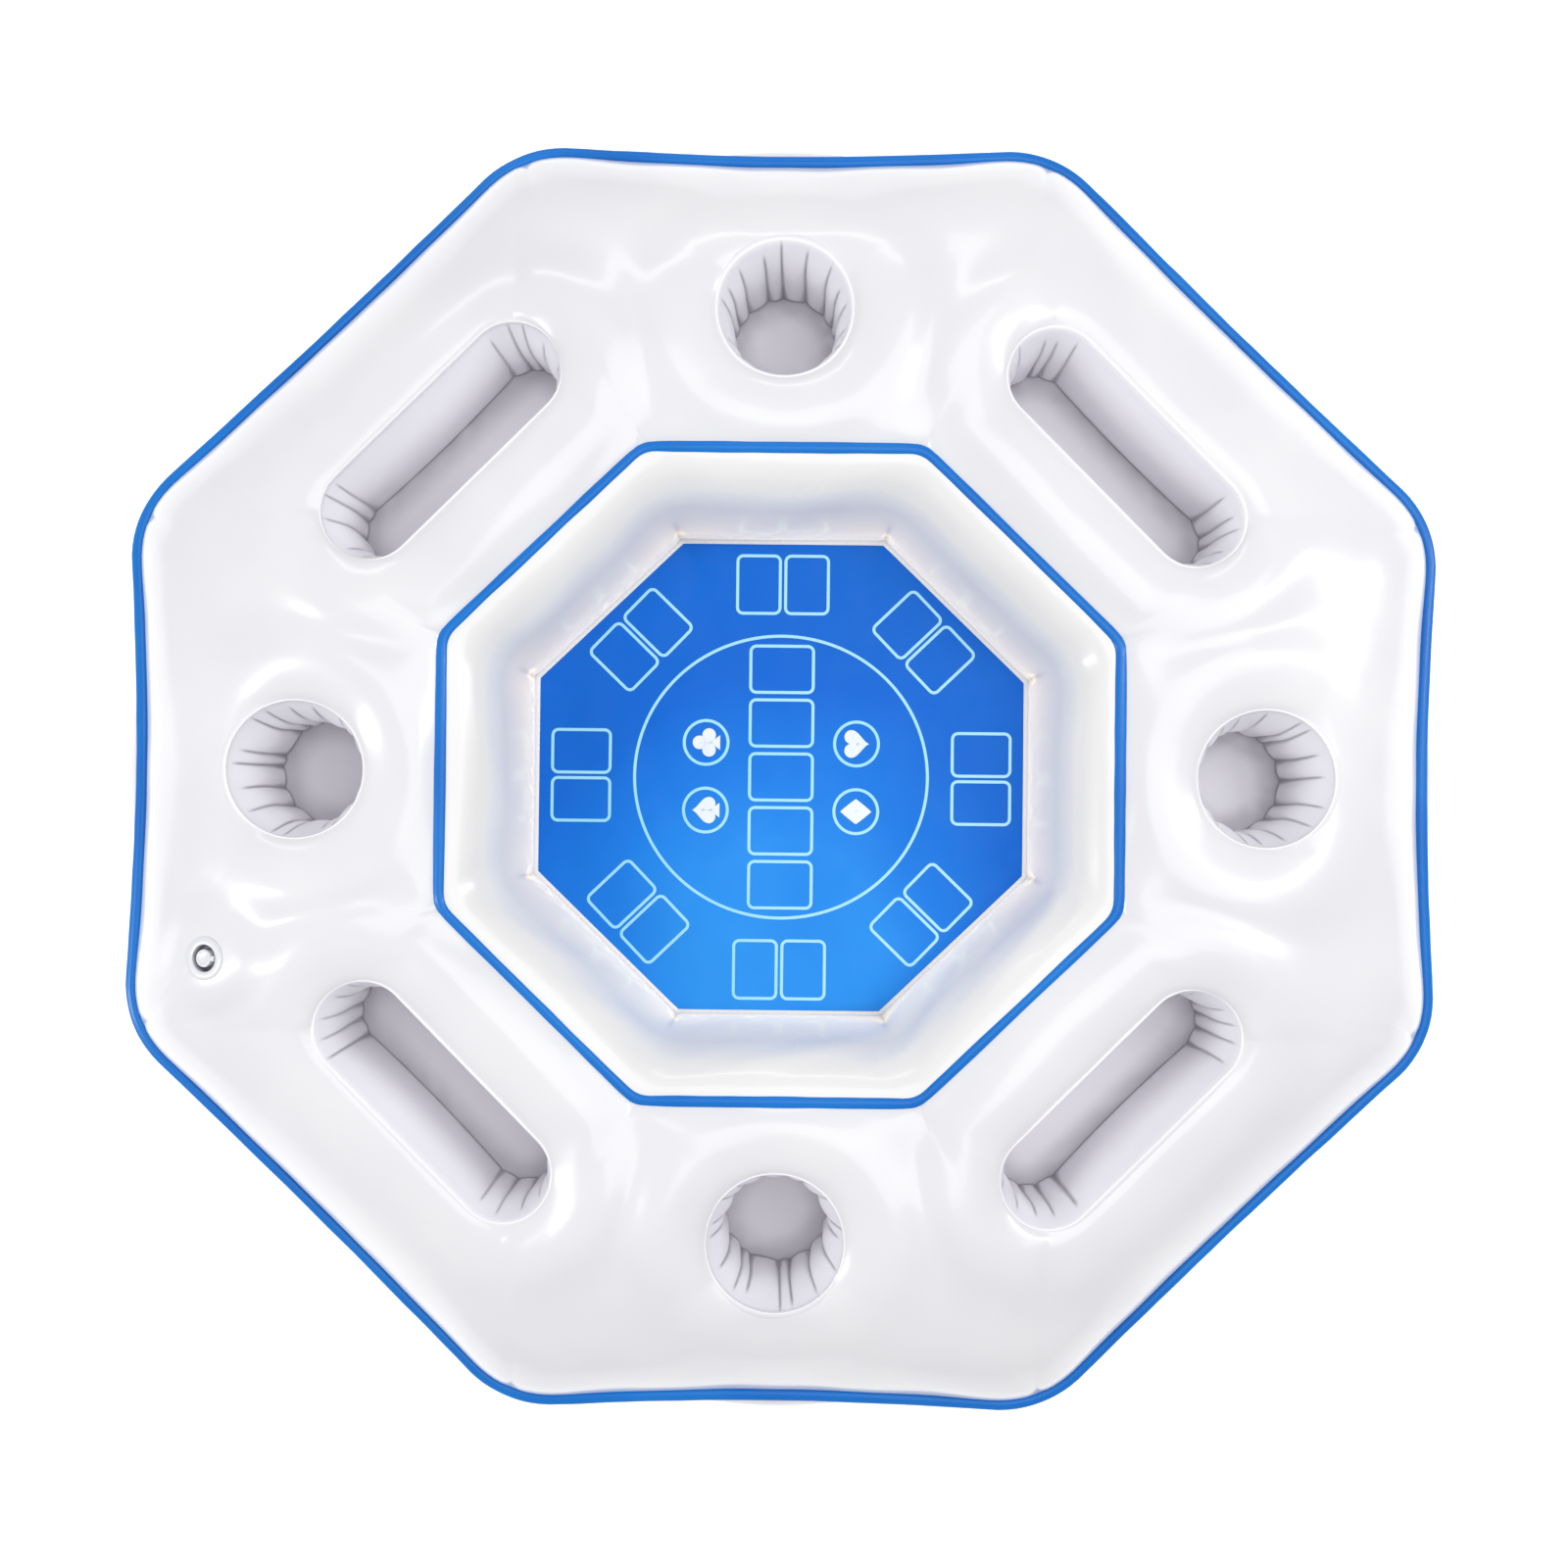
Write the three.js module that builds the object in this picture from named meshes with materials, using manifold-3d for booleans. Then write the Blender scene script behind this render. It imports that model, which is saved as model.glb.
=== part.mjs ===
// Inflatable floating card table: an eight-sided ring cushion of vinyl film round a sunk, printed
// playing mat, with four round cup wells, four long trays and one push-in air valve.
// Millimetres, +Z up. The origin is under the middle of the cushion, on the plane it rests on.

import * as THREE from 'three';
import { mergeVertices } from 'three/addons/utils/BufferGeometryUtils.js';
import Module from 'manifold-3d';

// Driving dimensions ---------------------------------------------------------------------------

const HALF_WIDTH = 500;        // centre to the outside of the outer piping, along X
const DEPTH_RATIO = 0.963;     // the table is a little shallower along Y than along X
const SEAM_HEIGHT = 81;        // outer seam, half way up the cushion
const CREST_HEIGHT = 162;      // top of the inflated ring
const RIM_HEIGHT = 150;        // inner piped seam and the mouths of the wells
const MAT_HEIGHT = 26;         // top of the playing mat and of the well floors

const FILM = 1.2;              // thickness that the vinyl film is drawn at
const GAP = 0.3;               // clearance between pieces that touch
const SECTORS = 8;

const CORNER_RADIUS = 85;      // rounding of the cushion's outer corners
const PIPING = { halfWidth: 4, halfHeight: 3 };
const INNER_PIPING_APOTHEM = 248.5;
const MAT_APOTHEM = 190;       // visible blue of the mat
const WELD_WIDTH = 8;          // margin round the mat that is welded to the wall

const CREST_APOTHEM = 345;     // where the top of the ring is highest
const BELLY_BAND = [250, 400]; // apothems between which the underside hangs lowest
const REST_SQUASH = 6;         // how far the underside is pressed flat by what it rests on
const WALL_BELLY = 15;         // how far the wall round the mat bulges into the middle

const WELL_APOTHEM = 355;      // centre of the table to the centre of each well
// A well's mouth and floor are given by their radii, and a tray is as long as its core is wide.
// The middle of each outer side pulls in by sideHollow, more at a cup than at a tray.
const CUP = { halfCore: 0, mouth: 50, floor: 42, sideHollow: 6 };
const TRAY = { halfCore: 74, mouth: 35, floor: 29, sideHollow: 1.5 };
const COLLAR = 10;             // flat welded margin of film round each mouth
const LIP_SETBACK = 1;         // how far a sleeve's lip stops short of the collar's edge
const HOLE_EASE = 4;           // clearance between a sleeve and the hole it hangs through
const MOUTH_DIMPLE = 45;       // how far the dimple round each well reaches
const FOOT_WIDTH = 6;          // margin at the bottom of each sleeve, welded under the floor
const ROW_SHARES = [0, 0.2, 0.45, 0.72, 1];  // rows of a panel between a well and its edges

const VALVE_PLACE = [-419, -139];  // plan position of the valve
const VALVE_TILT = 20;         // lean of the valve's axis towards -X, in degrees
const FLANGE = { radius: 16, recess: 10, bore: 6.4, wall: 1.5, top: 0.7, weld: -1.5, step: -6, bottom: -7.2 };
const STEM = { radius: 6, bore: 4.2, top: -1.5, bottom: -24 };
const STOP_RING = { radius: 7.6, bottom: -22, top: -20.6 };
const LUG = { inner: 5, outer: 8.9, bottom: -4 };
const PLUG = { radius: 7, top: 1.3, depth: 2.8, bevel: 0.7, taper: 0.7 };
const TETHER = { inner: 7.3, outer: 9.3, halfWidth: 2, bottom: 0, top: 1.2 };
const FLAP = { radius: 5.6, thickness: 0.8 };

// Materials ------------------------------------------------------------------------------------

const VINYL = { color: 0xeeeef1, roughness: 0.28, metalness: 0 };
const SLEEVE_VINYL = { color: 0xdddbe4, roughness: 0.32, metalness: 0 };
const BLUE_VINYL = { color: 0x1a74d2, roughness: 0.3, metalness: 0 };
const MAT_VINYL = { color: 0x2c86e2, roughness: 0.35, metalness: 0 };
const VALVE_VINYL = { color: 0xe6e7ea, roughness: 0.4, metalness: 0 };

const wasm = await Module();
wasm.setup();

const table = new THREE.Group();

function place(name, geometry, look, parent = table) {
  const mesh = new THREE.Mesh(geometry, new THREE.MeshStandardMaterial(look));
  mesh.name = name;
  parent.add(mesh);
  return mesh;
}

// Geometry helpers -----------------------------------------------------------------------------

function geometryFrom(vertices, triangles) {
  const geometry = new THREE.BufferGeometry();
  geometry.setAttribute('position', new THREE.Float32BufferAttribute(vertices.flat(), 3));
  geometry.setIndex(triangles.flat());
  const welded = mergeVertices(geometry, 1e-3);
  welded.computeVertexNormals();
  return welded;
}

// The edges of an open surface, each in the direction of the triangle it belongs to.
function openEdges(index) {
  const edges = new Map();
  for (let i = 0; i < index.count; i += 3) {
    for (let side = 0; side < 3; side += 1) {
      const from = index.getX(i + side);
      const to = index.getX(i + (side + 1) % 3);
      if (!edges.delete(`${to},${from}`)) edges.set(`${from},${to}`, [from, to]);
    }
  }
  return [...edges.values()];
}

// Gives an open surface the thickness of the film, added behind its faces. Edge points are
// thickened straight down (or up, under the table), so that welded margins lie flat.
function filmSheet(surface, edgeDirection) {
  const position = surface.getAttribute('position');
  const normal = surface.getAttribute('normal');
  const index = surface.getIndex();
  const rim = openEdges(index);
  const onRim = new Set(rim.flat());
  const outer = [];
  const inner = [];
  for (let i = 0; i < position.count; i += 1) {
    const point = new THREE.Vector3().fromBufferAttribute(position, i);
    const back = onRim.has(i)
      ? new THREE.Vector3(0, 0, edgeDirection)
      : new THREE.Vector3().fromBufferAttribute(normal, i).negate();
    outer.push(point.toArray());
    inner.push(point.addScaledVector(back, FILM).toArray());
  }
  const count = outer.length;
  const triangles = [];
  for (let i = 0; i < index.count; i += 3) {
    const [a, b, c] = [index.getX(i), index.getX(i + 1), index.getX(i + 2)];
    triangles.push([a, b, c], [c + count, b + count, a + count]);
  }
  for (const [a, b] of rim) triangles.push([b, a, a + count], [b, a + count, b + count]);
  return geometryFrom([...outer, ...inner], triangles);
}

// Joins rows of points into a surface. Rows run anticlockwise as seen from in front of it.
function rowsToTriangles(rowCount, pointCount, closedRows, closedPoints) {
  const triangles = [];
  const lastRow = closedRows ? rowCount : rowCount - 1;
  const lastPoint = closedPoints ? pointCount : pointCount - 1;
  for (let row = 0; row < lastRow; row += 1) {
    for (let i = 0; i < lastPoint; i += 1) {
      const nextRow = (row + 1) % rowCount;
      const next = (i + 1) % pointCount;
      const [a, b] = [row * pointCount + i, row * pointCount + next];
      const [c, d] = [nextRow * pointCount + next, nextRow * pointCount + i];
      triangles.push([a, b, c], [a, c, d]);
    }
  }
  return triangles;
}

function turnedOver(triangles) {
  return triangles.map(([a, b, c]) => [a, c, b]);
}

// A closed ring whose section is `profile`, [distance out, height] points that go up the inside
// and down the outside, carried round the closed outline that outlineAt(distance out) gives.
function ringSolid(profile, outlineAt) {
  const rows = profile.map(([out, height]) => outlineAt(out).map(([x, y]) => [x, y, height]));
  const triangles = rowsToTriangles(rows.length, rows[0].length, true, true);
  return geometryFrom(rows.flat(), turnedOver(triangles));
}

function ellipseProfile(centreOut, centreHeight, { halfWidth, halfHeight }, steps) {
  return Array.from({ length: steps }, (_, i) => {
    const turn = -2 * Math.PI * i / steps;
    return [centreOut + halfWidth * Math.cos(turn), centreHeight + halfHeight * Math.sin(turn)];
  });
}

// The eight-sided plan -------------------------------------------------------------------------

const HALF_SECTOR = Math.PI / SECTORS;
const SIDE_STEPS = 8;
const EDGE_STEPS = 6;
const OUTER_STEPS = Array.from({ length: SIDE_STEPS }, (_, i) => -Math.cos(Math.PI * i / SIDE_STEPS));

// Turns a point of the side that faces +X onto side number `side`, and shortens the plan along Y.
function onSide([out, along], side) {
  const turn = 2 * HALF_SECTOR * side;
  return [
    out * Math.cos(turn) - along * Math.sin(turn),
    (out * Math.sin(turn) + along * Math.cos(turn)) * DEPTH_RATIO,
  ];
}

const hollowAt = (hollow, run, straight) => hollow * Math.cos(Math.PI / 2 * Math.min(1, run / straight));

// A point of the cushion's outer side, from along = -1 at one corner to 1 at the next.
function outerPoint(apothem, along, sector) {
  const straight = (apothem - CORNER_RADIUS) * Math.tan(HALF_SECTOR);
  const run = Math.abs(along) * (straight + CORNER_RADIUS * HALF_SECTOR);
  const turn = Math.max(0, run - straight) / CORNER_RADIUS;
  const dip = hollowAt(wells[sector].sideHollow, run, straight);
  return [
    apothem - dip - CORNER_RADIUS + CORNER_RADIUS * Math.cos(turn),
    Math.sign(along) * (Math.min(run, straight) + CORNER_RADIUS * Math.sin(turn)),
  ];
}

// A point of a straight side with sharp corners.
function sharpPoint(apothem, along) {
  return [apothem, along * apothem * Math.tan(HALF_SECTOR)];
}

// Points along a rounded side lie closer together towards its corners.
function outerOctagon(apothem) {
  return wells.flatMap(({ sector }) => OUTER_STEPS.map(
    (along) => onSide(outerPoint(apothem, along, sector), sector),
  ));
}

function sharpOctagon(apothem, steps) {
  return wells.flatMap(({ sector }) => Array.from({ length: steps }, (_, i) => (
    onSide(sharpPoint(apothem, -1 + 2 * i / steps), sector)
  )));
}

// A point of the plan, seen from the side it faces: its distance out and along that side.
function facing(x, y) {
  const distance = Math.hypot(x, y / DEPTH_RATIO);
  const heading = Math.atan2(y / DEPTH_RATIO, x);
  const side = Math.round(heading / (2 * HALF_SECTOR));
  const turn = heading - 2 * HALF_SECTOR * side;
  const sector = (side + SECTORS) % SECTORS;
  return { sector, out: distance * Math.cos(turn), along: Math.abs(distance * Math.sin(turn)) };
}

// The apothem of the rounded, hollow-sided outline that passes through a point near the rim.
function outerApothemOf({ sector, out, along }) {
  const rounding = CORNER_RADIUS / HALF_WIDTH;
  const lean = Math.tan(HALF_SECTOR);
  const straight = (1 - rounding) * out * lean;
  if (along <= straight) return out + hollowAt(wells[sector].sideHollow, along, straight);
  const a = ((1 - rounding) / Math.cos(HALF_SECTOR)) ** 2 - rounding ** 2;
  const b = (1 - rounding) * (out + lean * along);
  return (b - Math.sqrt(b * b - a * (out * out + along * along))) / a;
}

// Wells ----------------------------------------------------------------------------------------

// A well's outline is every point at one distance from a short straight core, which lies square
// to the line from the centre of the table. A round cup's core is a single point.
const WELL_NAMES = ['east', 'north_east', 'north', 'north_west', 'west', 'south_west', 'south', 'south_east'];

const wells = WELL_NAMES.map((name, sector) => {
  const turn = 2 * HALF_SECTOR * sector;
  return {
    name,
    sector,
    ...(sector % 2 ? TRAY : CUP),
    kind: sector % 2 ? 'tray' : 'cup',
    centre: new THREE.Vector2(...onSide([WELL_APOTHEM, 0], sector)),
    core: new THREE.Vector2(-Math.sin(turn), Math.cos(turn)),
  };
});

function nearestOnCore(well, x, y) {
  const offset = new THREE.Vector2(x, y).sub(well.centre);
  const along = THREE.MathUtils.clamp(offset.dot(well.core), -well.halfCore, well.halfCore);
  return well.centre.clone().addScaledVector(well.core, along);
}

function wellOutline(well, radius, endSteps) {
  const heading = Math.atan2(well.core.y, well.core.x);
  const points = [];
  for (const end of [1, -1]) {
    const middle = well.centre.clone().addScaledVector(well.core, end * well.halfCore);
    const start = heading + (end === 1 ? -Math.PI / 2 : Math.PI / 2);
    const steps = well.halfCore ? endSteps + 1 : endSteps;
    for (let i = 0; i < steps; i += 1) {
      const turn = start + Math.PI * i / endSteps;
      points.push([middle.x + radius * Math.cos(turn), middle.y + radius * Math.sin(turn)]);
    }
  }
  return points;
}

// Heights of the inflated skin -----------------------------------------------------------------

const PANEL_APOTHEM = HALF_WIDTH - 2 * PIPING.halfWidth - GAP;
const INNER_EDGE = INNER_PIPING_APOTHEM + PIPING.halfWidth + GAP;
const MAT_EDGE = MAT_APOTHEM + WELD_WIDTH;
const TOP_SEAM = SEAM_HEIGHT + GAP / 2 + FILM;
const UNDER_SEAM = SEAM_HEIGHT - GAP / 2 - FILM;
const MARGIN_TOP = MAT_HEIGHT - FILM - GAP;       // margins of the wall and sleeves, under the mat
const MARGIN_BOTTOM = MARGIN_TOP - FILM;
const UNDER_FLOOR = MARGIN_BOTTOM - GAP - FILM;   // the bottom panel, under those margins

const roundOver = (share) => Math.sqrt(Math.max(0, 1 - share * share));

// 0 on the welded margin of a well, rising smoothly to 1 clear of the dimples round all of them.
function clearOfWells(marginOf, x, y) {
  const point = new THREE.Vector2(x, y);
  return wells.reduce((share, well) => {
    const gap = nearestOnCore(well, x, y).distanceTo(point) - marginOf(well);
    return share * THREE.MathUtils.smoothstep(gap, 0, MOUTH_DIMPLE);
  }, 1);
}

const topMargin = (well) => well.mouth + FILM + COLLAR;
const footMargin = (well) => well.floor + FILM + COLLAR;

function ringTop(x, y) {
  const place = facing(x, y);
  const outer = outerApothemOf(place);
  const outward = outer > CREST_APOTHEM;
  const edgeHeight = outward ? TOP_SEAM : RIM_HEIGHT;
  const share = outward
    ? (outer - CREST_APOTHEM) / (PANEL_APOTHEM - CREST_APOTHEM)
    : (CREST_APOTHEM - place.out) / (CREST_APOTHEM - INNER_EDGE);
  return edgeHeight + (CREST_HEIGHT - edgeHeight) * roundOver(share);
}

// The underside before it is pressed flat.
function ringUnderside(x, y) {
  const place = facing(x, y);
  const [innerBelly, outerBelly] = BELLY_BAND;
  const inward = place.out < innerBelly;
  const edgeHeight = inward ? UNDER_FLOOR : UNDER_SEAM;
  const share = inward
    ? (innerBelly - place.out) / (innerBelly - MAT_EDGE)
    : Math.max(0, outerApothemOf(place) - outerBelly) / (PANEL_APOTHEM - outerBelly);
  return edgeHeight - (edgeHeight + REST_SQUASH) * roundOver(share);
}

function topHeight(x, y) {
  return THREE.MathUtils.lerp(RIM_HEIGHT, ringTop(x, y), clearOfWells(topMargin, x, y));
}

function undersideHeight(x, y) {
  const clear = clearOfWells(footMargin, x, y);
  return Math.max(0, THREE.MathUtils.lerp(UNDER_FLOOR, ringUnderside(x, y), clear));
}

// Panels ---------------------------------------------------------------------------------------

// One eighth of a panel, anticlockwise: its outer side, one corner line, its inner side and the
// other corner line. Points crowd towards the outer corners, where the skin turns over fastest.
function sectorLoop(innerApothem, sector) {
  const outer = (along) => outerPoint(PANEL_APOTHEM, along, sector);
  const inner = (along) => sharpPoint(innerApothem, along);
  const points = OUTER_STEPS.map(outer);
  const edge = (from, to, steps, ease) => {
    for (let i = 0; i < steps; i += 1) {
      points.push([0, 1].map((axis) => THREE.MathUtils.lerp(from[axis], to[axis], ease(i / steps))));
    }
  };
  edge(outer(1), inner(1), EDGE_STEPS, (share) => 1 - Math.cos(Math.PI / 2 * share));
  edge(inner(1), inner(-1), SIDE_STEPS, (share) => share);
  edge(inner(-1), outer(-1), EDGE_STEPS, (share) => Math.sin(Math.PI / 2 * share));
  return points.map((point) => onSide(point, sector));
}

// Rows of points from the edge of a well out to the edge of its eighth of the panel.
function panelRows(well, edgeRadius, flatRadius, innerApothem, heightAt, seamHeight) {
  const loop = sectorLoop(innerApothem, well.sector);
  const hold = (radius) => loop.map(([x, y]) => {
    const core = nearestOnCore(well, x, y);
    const away = new THREE.Vector2(x, y).sub(core).setLength(radius);
    return [core.x + away.x, core.y + away.y];
  });
  const edge = hold(edgeRadius);
  const collar = hold(flatRadius);
  const raised = ([x, y]) => [x, y, heightAt(x, y)];
  const rows = ROW_SHARES.map((share) => collar.map((point, i) => raised([
    THREE.MathUtils.lerp(point[0], loop[i][0], share),
    THREE.MathUtils.lerp(point[1], loop[i][1], share),
  ])));
  for (let i = 0; i <= SIDE_STEPS; i += 1) rows.at(-1)[i][2] = seamHeight;
  return [edge.map(raised), ...rows];
}

function panelSurface(rowsOf) {
  const vertices = [];
  const triangles = [];
  for (const well of wells) {
    const rows = rowsOf(well);
    const start = vertices.length;
    vertices.push(...rows.flat());
    for (const triangle of rowsToTriangles(rows.length, rows[0].length, false, true)) {
      triangles.push(triangle.map((i) => i + start));
    }
  }
  return { vertices, triangles };
}

function topPanel() {
  const surface = panelSurface((well) => {
    const hole = well.mouth + FILM + HOLE_EASE;
    return panelRows(well, hole, topMargin(well), INNER_EDGE, topHeight, TOP_SEAM);
  });
  return filmSheet(geometryFrom(surface.vertices, turnedOver(surface.triangles)), -1);
}

function bottomPanel() {
  const surface = panelSurface((well) => {
    const foot = footMargin(well);
    const halfFoot = foot / 2;
    const rows = panelRows(well, halfFoot, foot, MAT_APOTHEM, undersideHeight, UNDER_SEAM);
    const middle = rows[0].map(() => [...well.centre.toArray(), UNDER_FLOOR]);
    return [middle, ...rows];
  });
  const solidFaces = surface.triangles.filter((triangle) => {
    const [a, b, c] = triangle.map((i) => new THREE.Vector3(...surface.vertices[i]));
    return new THREE.Triangle(a, b, c).getArea() > 1e-6;
  });
  return filmSheet(geometryFrom(surface.vertices, solidFaces), 1);
}

// Seams, mat and the wall round it -------------------------------------------------------------

function outerPiping() {
  const profile = ellipseProfile(HALF_WIDTH - PIPING.halfWidth, SEAM_HEIGHT, PIPING, 8);
  return ringSolid(profile, outerOctagon);
}

function innerPiping() {
  const profile = ellipseProfile(INNER_PIPING_APOTHEM, RIM_HEIGHT, PIPING, 8);
  return ringSolid(profile, (out) => sharpOctagon(out, 3));
}

function wellWall() {
  const bottom = new THREE.Vector2(MAT_EDGE, MARGIN_TOP);
  const top = new THREE.Vector2(INNER_PIPING_APOTHEM - PIPING.halfWidth - GAP - FILM, RIM_HEIGHT);
  const rise = top.clone().sub(bottom);
  const inward = new THREE.Vector2(-rise.y, rise.x).normalize();
  const steps = 8;
  const face = Array.from({ length: steps + 1 }, (_, i) => {
    const share = i / steps;
    const bulge = WALL_BELLY * Math.sin(Math.PI * share);
    return bottom.clone().addScaledVector(rise, share).addScaledVector(inward, bulge).toArray();
  });
  const back = face.map(([out, height]) => [out + FILM, height]).reverse();
  const margin = [[MAT_EDGE + FILM, MARGIN_BOTTOM], [MAT_APOTHEM, MARGIN_BOTTOM], [MAT_APOTHEM, MARGIN_TOP]];
  const profile = [...face, ...back, ...margin];
  return ringSolid(profile, (out) => sharpOctagon(out, 4));
}

function flatSheet(outline) {
  const shape = new THREE.Shape(outline.map(([x, y]) => new THREE.Vector2(x, y)));
  const sheet = new THREE.ExtrudeGeometry(shape, { depth: FILM, bevelEnabled: false });
  return sheet.translate(0, 0, MAT_HEIGHT - FILM);
}

// Wells: a tapered sleeve whose lip is welded over the top panel, and its foot under the floor ----

const END_STEPS = 10;

function sleeve(well) {
  const top = RIM_HEIGHT + GAP;
  const lip = topMargin(well) - LIP_SETBACK;
  const profile = [
    [well.mouth, top + FILM],
    [lip, top + FILM],
    [lip, top],
    [well.mouth + FILM, top],
    [well.floor + FILM, MARGIN_BOTTOM],
    [well.floor - FOOT_WIDTH, MARGIN_BOTTOM],
    [well.floor - FOOT_WIDTH, MARGIN_TOP],
    [well.floor, MARGIN_TOP],
  ];
  return ringSolid(profile, (radius) => wellOutline(well, radius, END_STEPS));
}

function wellFloor(well) {
  return flatSheet(wellOutline(well, well.floor - GAP, END_STEPS));
}

// Valve, drawn about its own axis with the skin of the cushion at height 0 -----------------------

const LATHE_STEPS = 20;

function turned(profile) {
  const points = profile.map(([radius, height]) => new THREE.Vector2(radius, height));
  return new THREE.LatheGeometry(points, LATHE_STEPS).rotateX(Math.PI / 2);
}

function toSolid(geometry) {
  const bare = geometry.clone();
  bare.deleteAttribute('normal');
  bare.deleteAttribute('uv');
  const merged = mergeVertices(bare, 1e-4);
  return new wasm.Manifold(new wasm.Mesh({
    numProp: 3,
    vertProperties: new Float32Array(merged.getAttribute('position').array),
    triVerts: new Uint32Array(merged.getIndex().array),
  }));
}

function fromSolid(solid) {
  const { vertProperties, triVerts } = solid.getMesh();
  const geometry = new THREE.BufferGeometry();
  geometry.setAttribute('position', new THREE.BufferAttribute(vertProperties, 3));
  geometry.setIndex(new THREE.BufferAttribute(triVerts, 1));
  geometry.computeVertexNormals();
  return geometry;
}

function valveFlange() {
  return turned([
    [FLANGE.radius, FLANGE.weld],
    [FLANGE.radius, FLANGE.top],
    [FLANGE.recess, FLANGE.top],
    [FLANGE.recess, FLANGE.step],
    [FLANGE.bore, FLANGE.step],
    [FLANGE.bore, FLANGE.bottom],
    [FLANGE.recess + FLANGE.wall, FLANGE.bottom],
    [FLANGE.recess + FLANGE.wall, FLANGE.weld],
    [FLANGE.radius, FLANGE.weld],
  ]);
}

// A tube with a stop ring near its foot, and a small lug that the plug's tether folds over.
function valveStem() {
  const tube = turned([
    [STEM.radius, STEM.bottom],
    [STEM.radius, STOP_RING.bottom],
    [STOP_RING.radius, STOP_RING.bottom],
    [STOP_RING.radius, STOP_RING.top],
    [STEM.radius, STOP_RING.top],
    [STEM.radius, STEM.top],
    [STEM.bore, STEM.top],
    [STEM.bore, STEM.bottom],
    [STEM.radius, STEM.bottom],
  ]);
  const lug = new THREE.BoxGeometry(LUG.outer - LUG.inner, 2 * TETHER.halfWidth, STEM.top - LUG.bottom);
  lug.translate((LUG.outer + LUG.inner) / 2, 0, (STEM.top + LUG.bottom) / 2);
  return fromSolid(toSolid(tube).add(toSolid(lug)));
}

function valvePlug() {
  const underside = STEM.top + GAP;
  return turned([
    [0, underside - PLUG.depth],
    [STEM.bore - GAP - PLUG.taper, underside - PLUG.depth],
    [STEM.bore - GAP, underside],
    [PLUG.radius, underside],
    [PLUG.radius, PLUG.top - PLUG.bevel],
    [PLUG.radius - PLUG.bevel, PLUG.top],
    [0, PLUG.top],
  ]);
}

function valveTether() {
  const { inner, outer, halfWidth, bottom, top } = TETHER;
  const strap = new THREE.BoxGeometry(outer - inner, 2 * halfWidth, top - bottom);
  return strap.translate((inner + outer) / 2, 0, (bottom + top) / 2);
}

function checkFlap() {
  const top = STEM.bottom - GAP;
  const bottom = top - FLAP.thickness;
  return turned([[0, bottom], [FLAP.radius, bottom], [FLAP.radius, top], [0, top]]);
}

const valve = new THREE.Group();
valve.position.set(...VALVE_PLACE, topHeight(...VALVE_PLACE));
valve.rotation.y = -THREE.MathUtils.degToRad(VALVE_TILT);
valve.updateMatrix();

// The opening in the top panel that the valve is welded into.
function withValveHole(panel) {
  const radius = FLANGE.radius + GAP;
  const cutter = new THREE.CylinderGeometry(radius, radius, 2 * radius, LATHE_STEPS);
  cutter.rotateX(Math.PI / 2).applyMatrix4(valve.matrix);
  return fromSolid(toSolid(panel).subtract(toSolid(cutter)));
}

// Assembly -------------------------------------------------------------------------------------

place('top_panel', withValveHole(topPanel()), VINYL);
place('bottom_panel', bottomPanel(), VINYL);
place('outer_seam_piping', outerPiping(), BLUE_VINYL);
place('inner_seam_piping', innerPiping(), BLUE_VINYL);
place('well_wall', wellWall(), VINYL);
place('playing_mat', flatSheet(sharpOctagon(MAT_EDGE - GAP, 1)), MAT_VINYL);

for (const well of wells) {
  place(`${well.kind}_sleeve_${well.name}`, sleeve(well), SLEEVE_VINYL);
  place(`${well.kind}_floor_${well.name}`, wellFloor(well), SLEEVE_VINYL);
}

table.add(valve);
place('valve_flange', valveFlange(), VALVE_VINYL, valve);
place('valve_stem', valveStem(), VALVE_VINYL, valve);
place('valve_plug', valvePlug(), VALVE_VINYL, valve);
place('valve_tether', valveTether(), VALVE_VINYL, valve);
place('valve_check_flap', checkFlap(), VALVE_VINYL, valve);

export default table;
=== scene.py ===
"""Looks of an inflatable floating card table: a puffy white ring round a sunk, printed blue mat."""

import math
import bmesh
import bpy
import numpy as np
from mathutils import Matrix, Vector


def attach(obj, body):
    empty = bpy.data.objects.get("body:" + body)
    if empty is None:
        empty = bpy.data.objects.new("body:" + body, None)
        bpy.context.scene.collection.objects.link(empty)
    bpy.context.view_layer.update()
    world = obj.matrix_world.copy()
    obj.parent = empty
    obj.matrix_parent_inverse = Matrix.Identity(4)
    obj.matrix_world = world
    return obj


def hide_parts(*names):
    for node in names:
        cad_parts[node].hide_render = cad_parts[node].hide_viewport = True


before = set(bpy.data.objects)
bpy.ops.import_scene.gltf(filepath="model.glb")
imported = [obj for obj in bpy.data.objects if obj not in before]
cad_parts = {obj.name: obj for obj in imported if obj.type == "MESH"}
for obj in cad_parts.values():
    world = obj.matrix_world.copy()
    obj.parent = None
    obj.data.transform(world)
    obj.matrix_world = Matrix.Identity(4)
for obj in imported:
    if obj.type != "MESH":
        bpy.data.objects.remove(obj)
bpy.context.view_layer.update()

# Sizes, in metres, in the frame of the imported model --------

SECTORS = 8
HALF_SECTOR = math.pi / SECTORS
LEAN = math.tan(HALF_SECTOR)
DEPTH_RATIO = 0.963            # the plan is a little shallower along Y than along X

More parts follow.
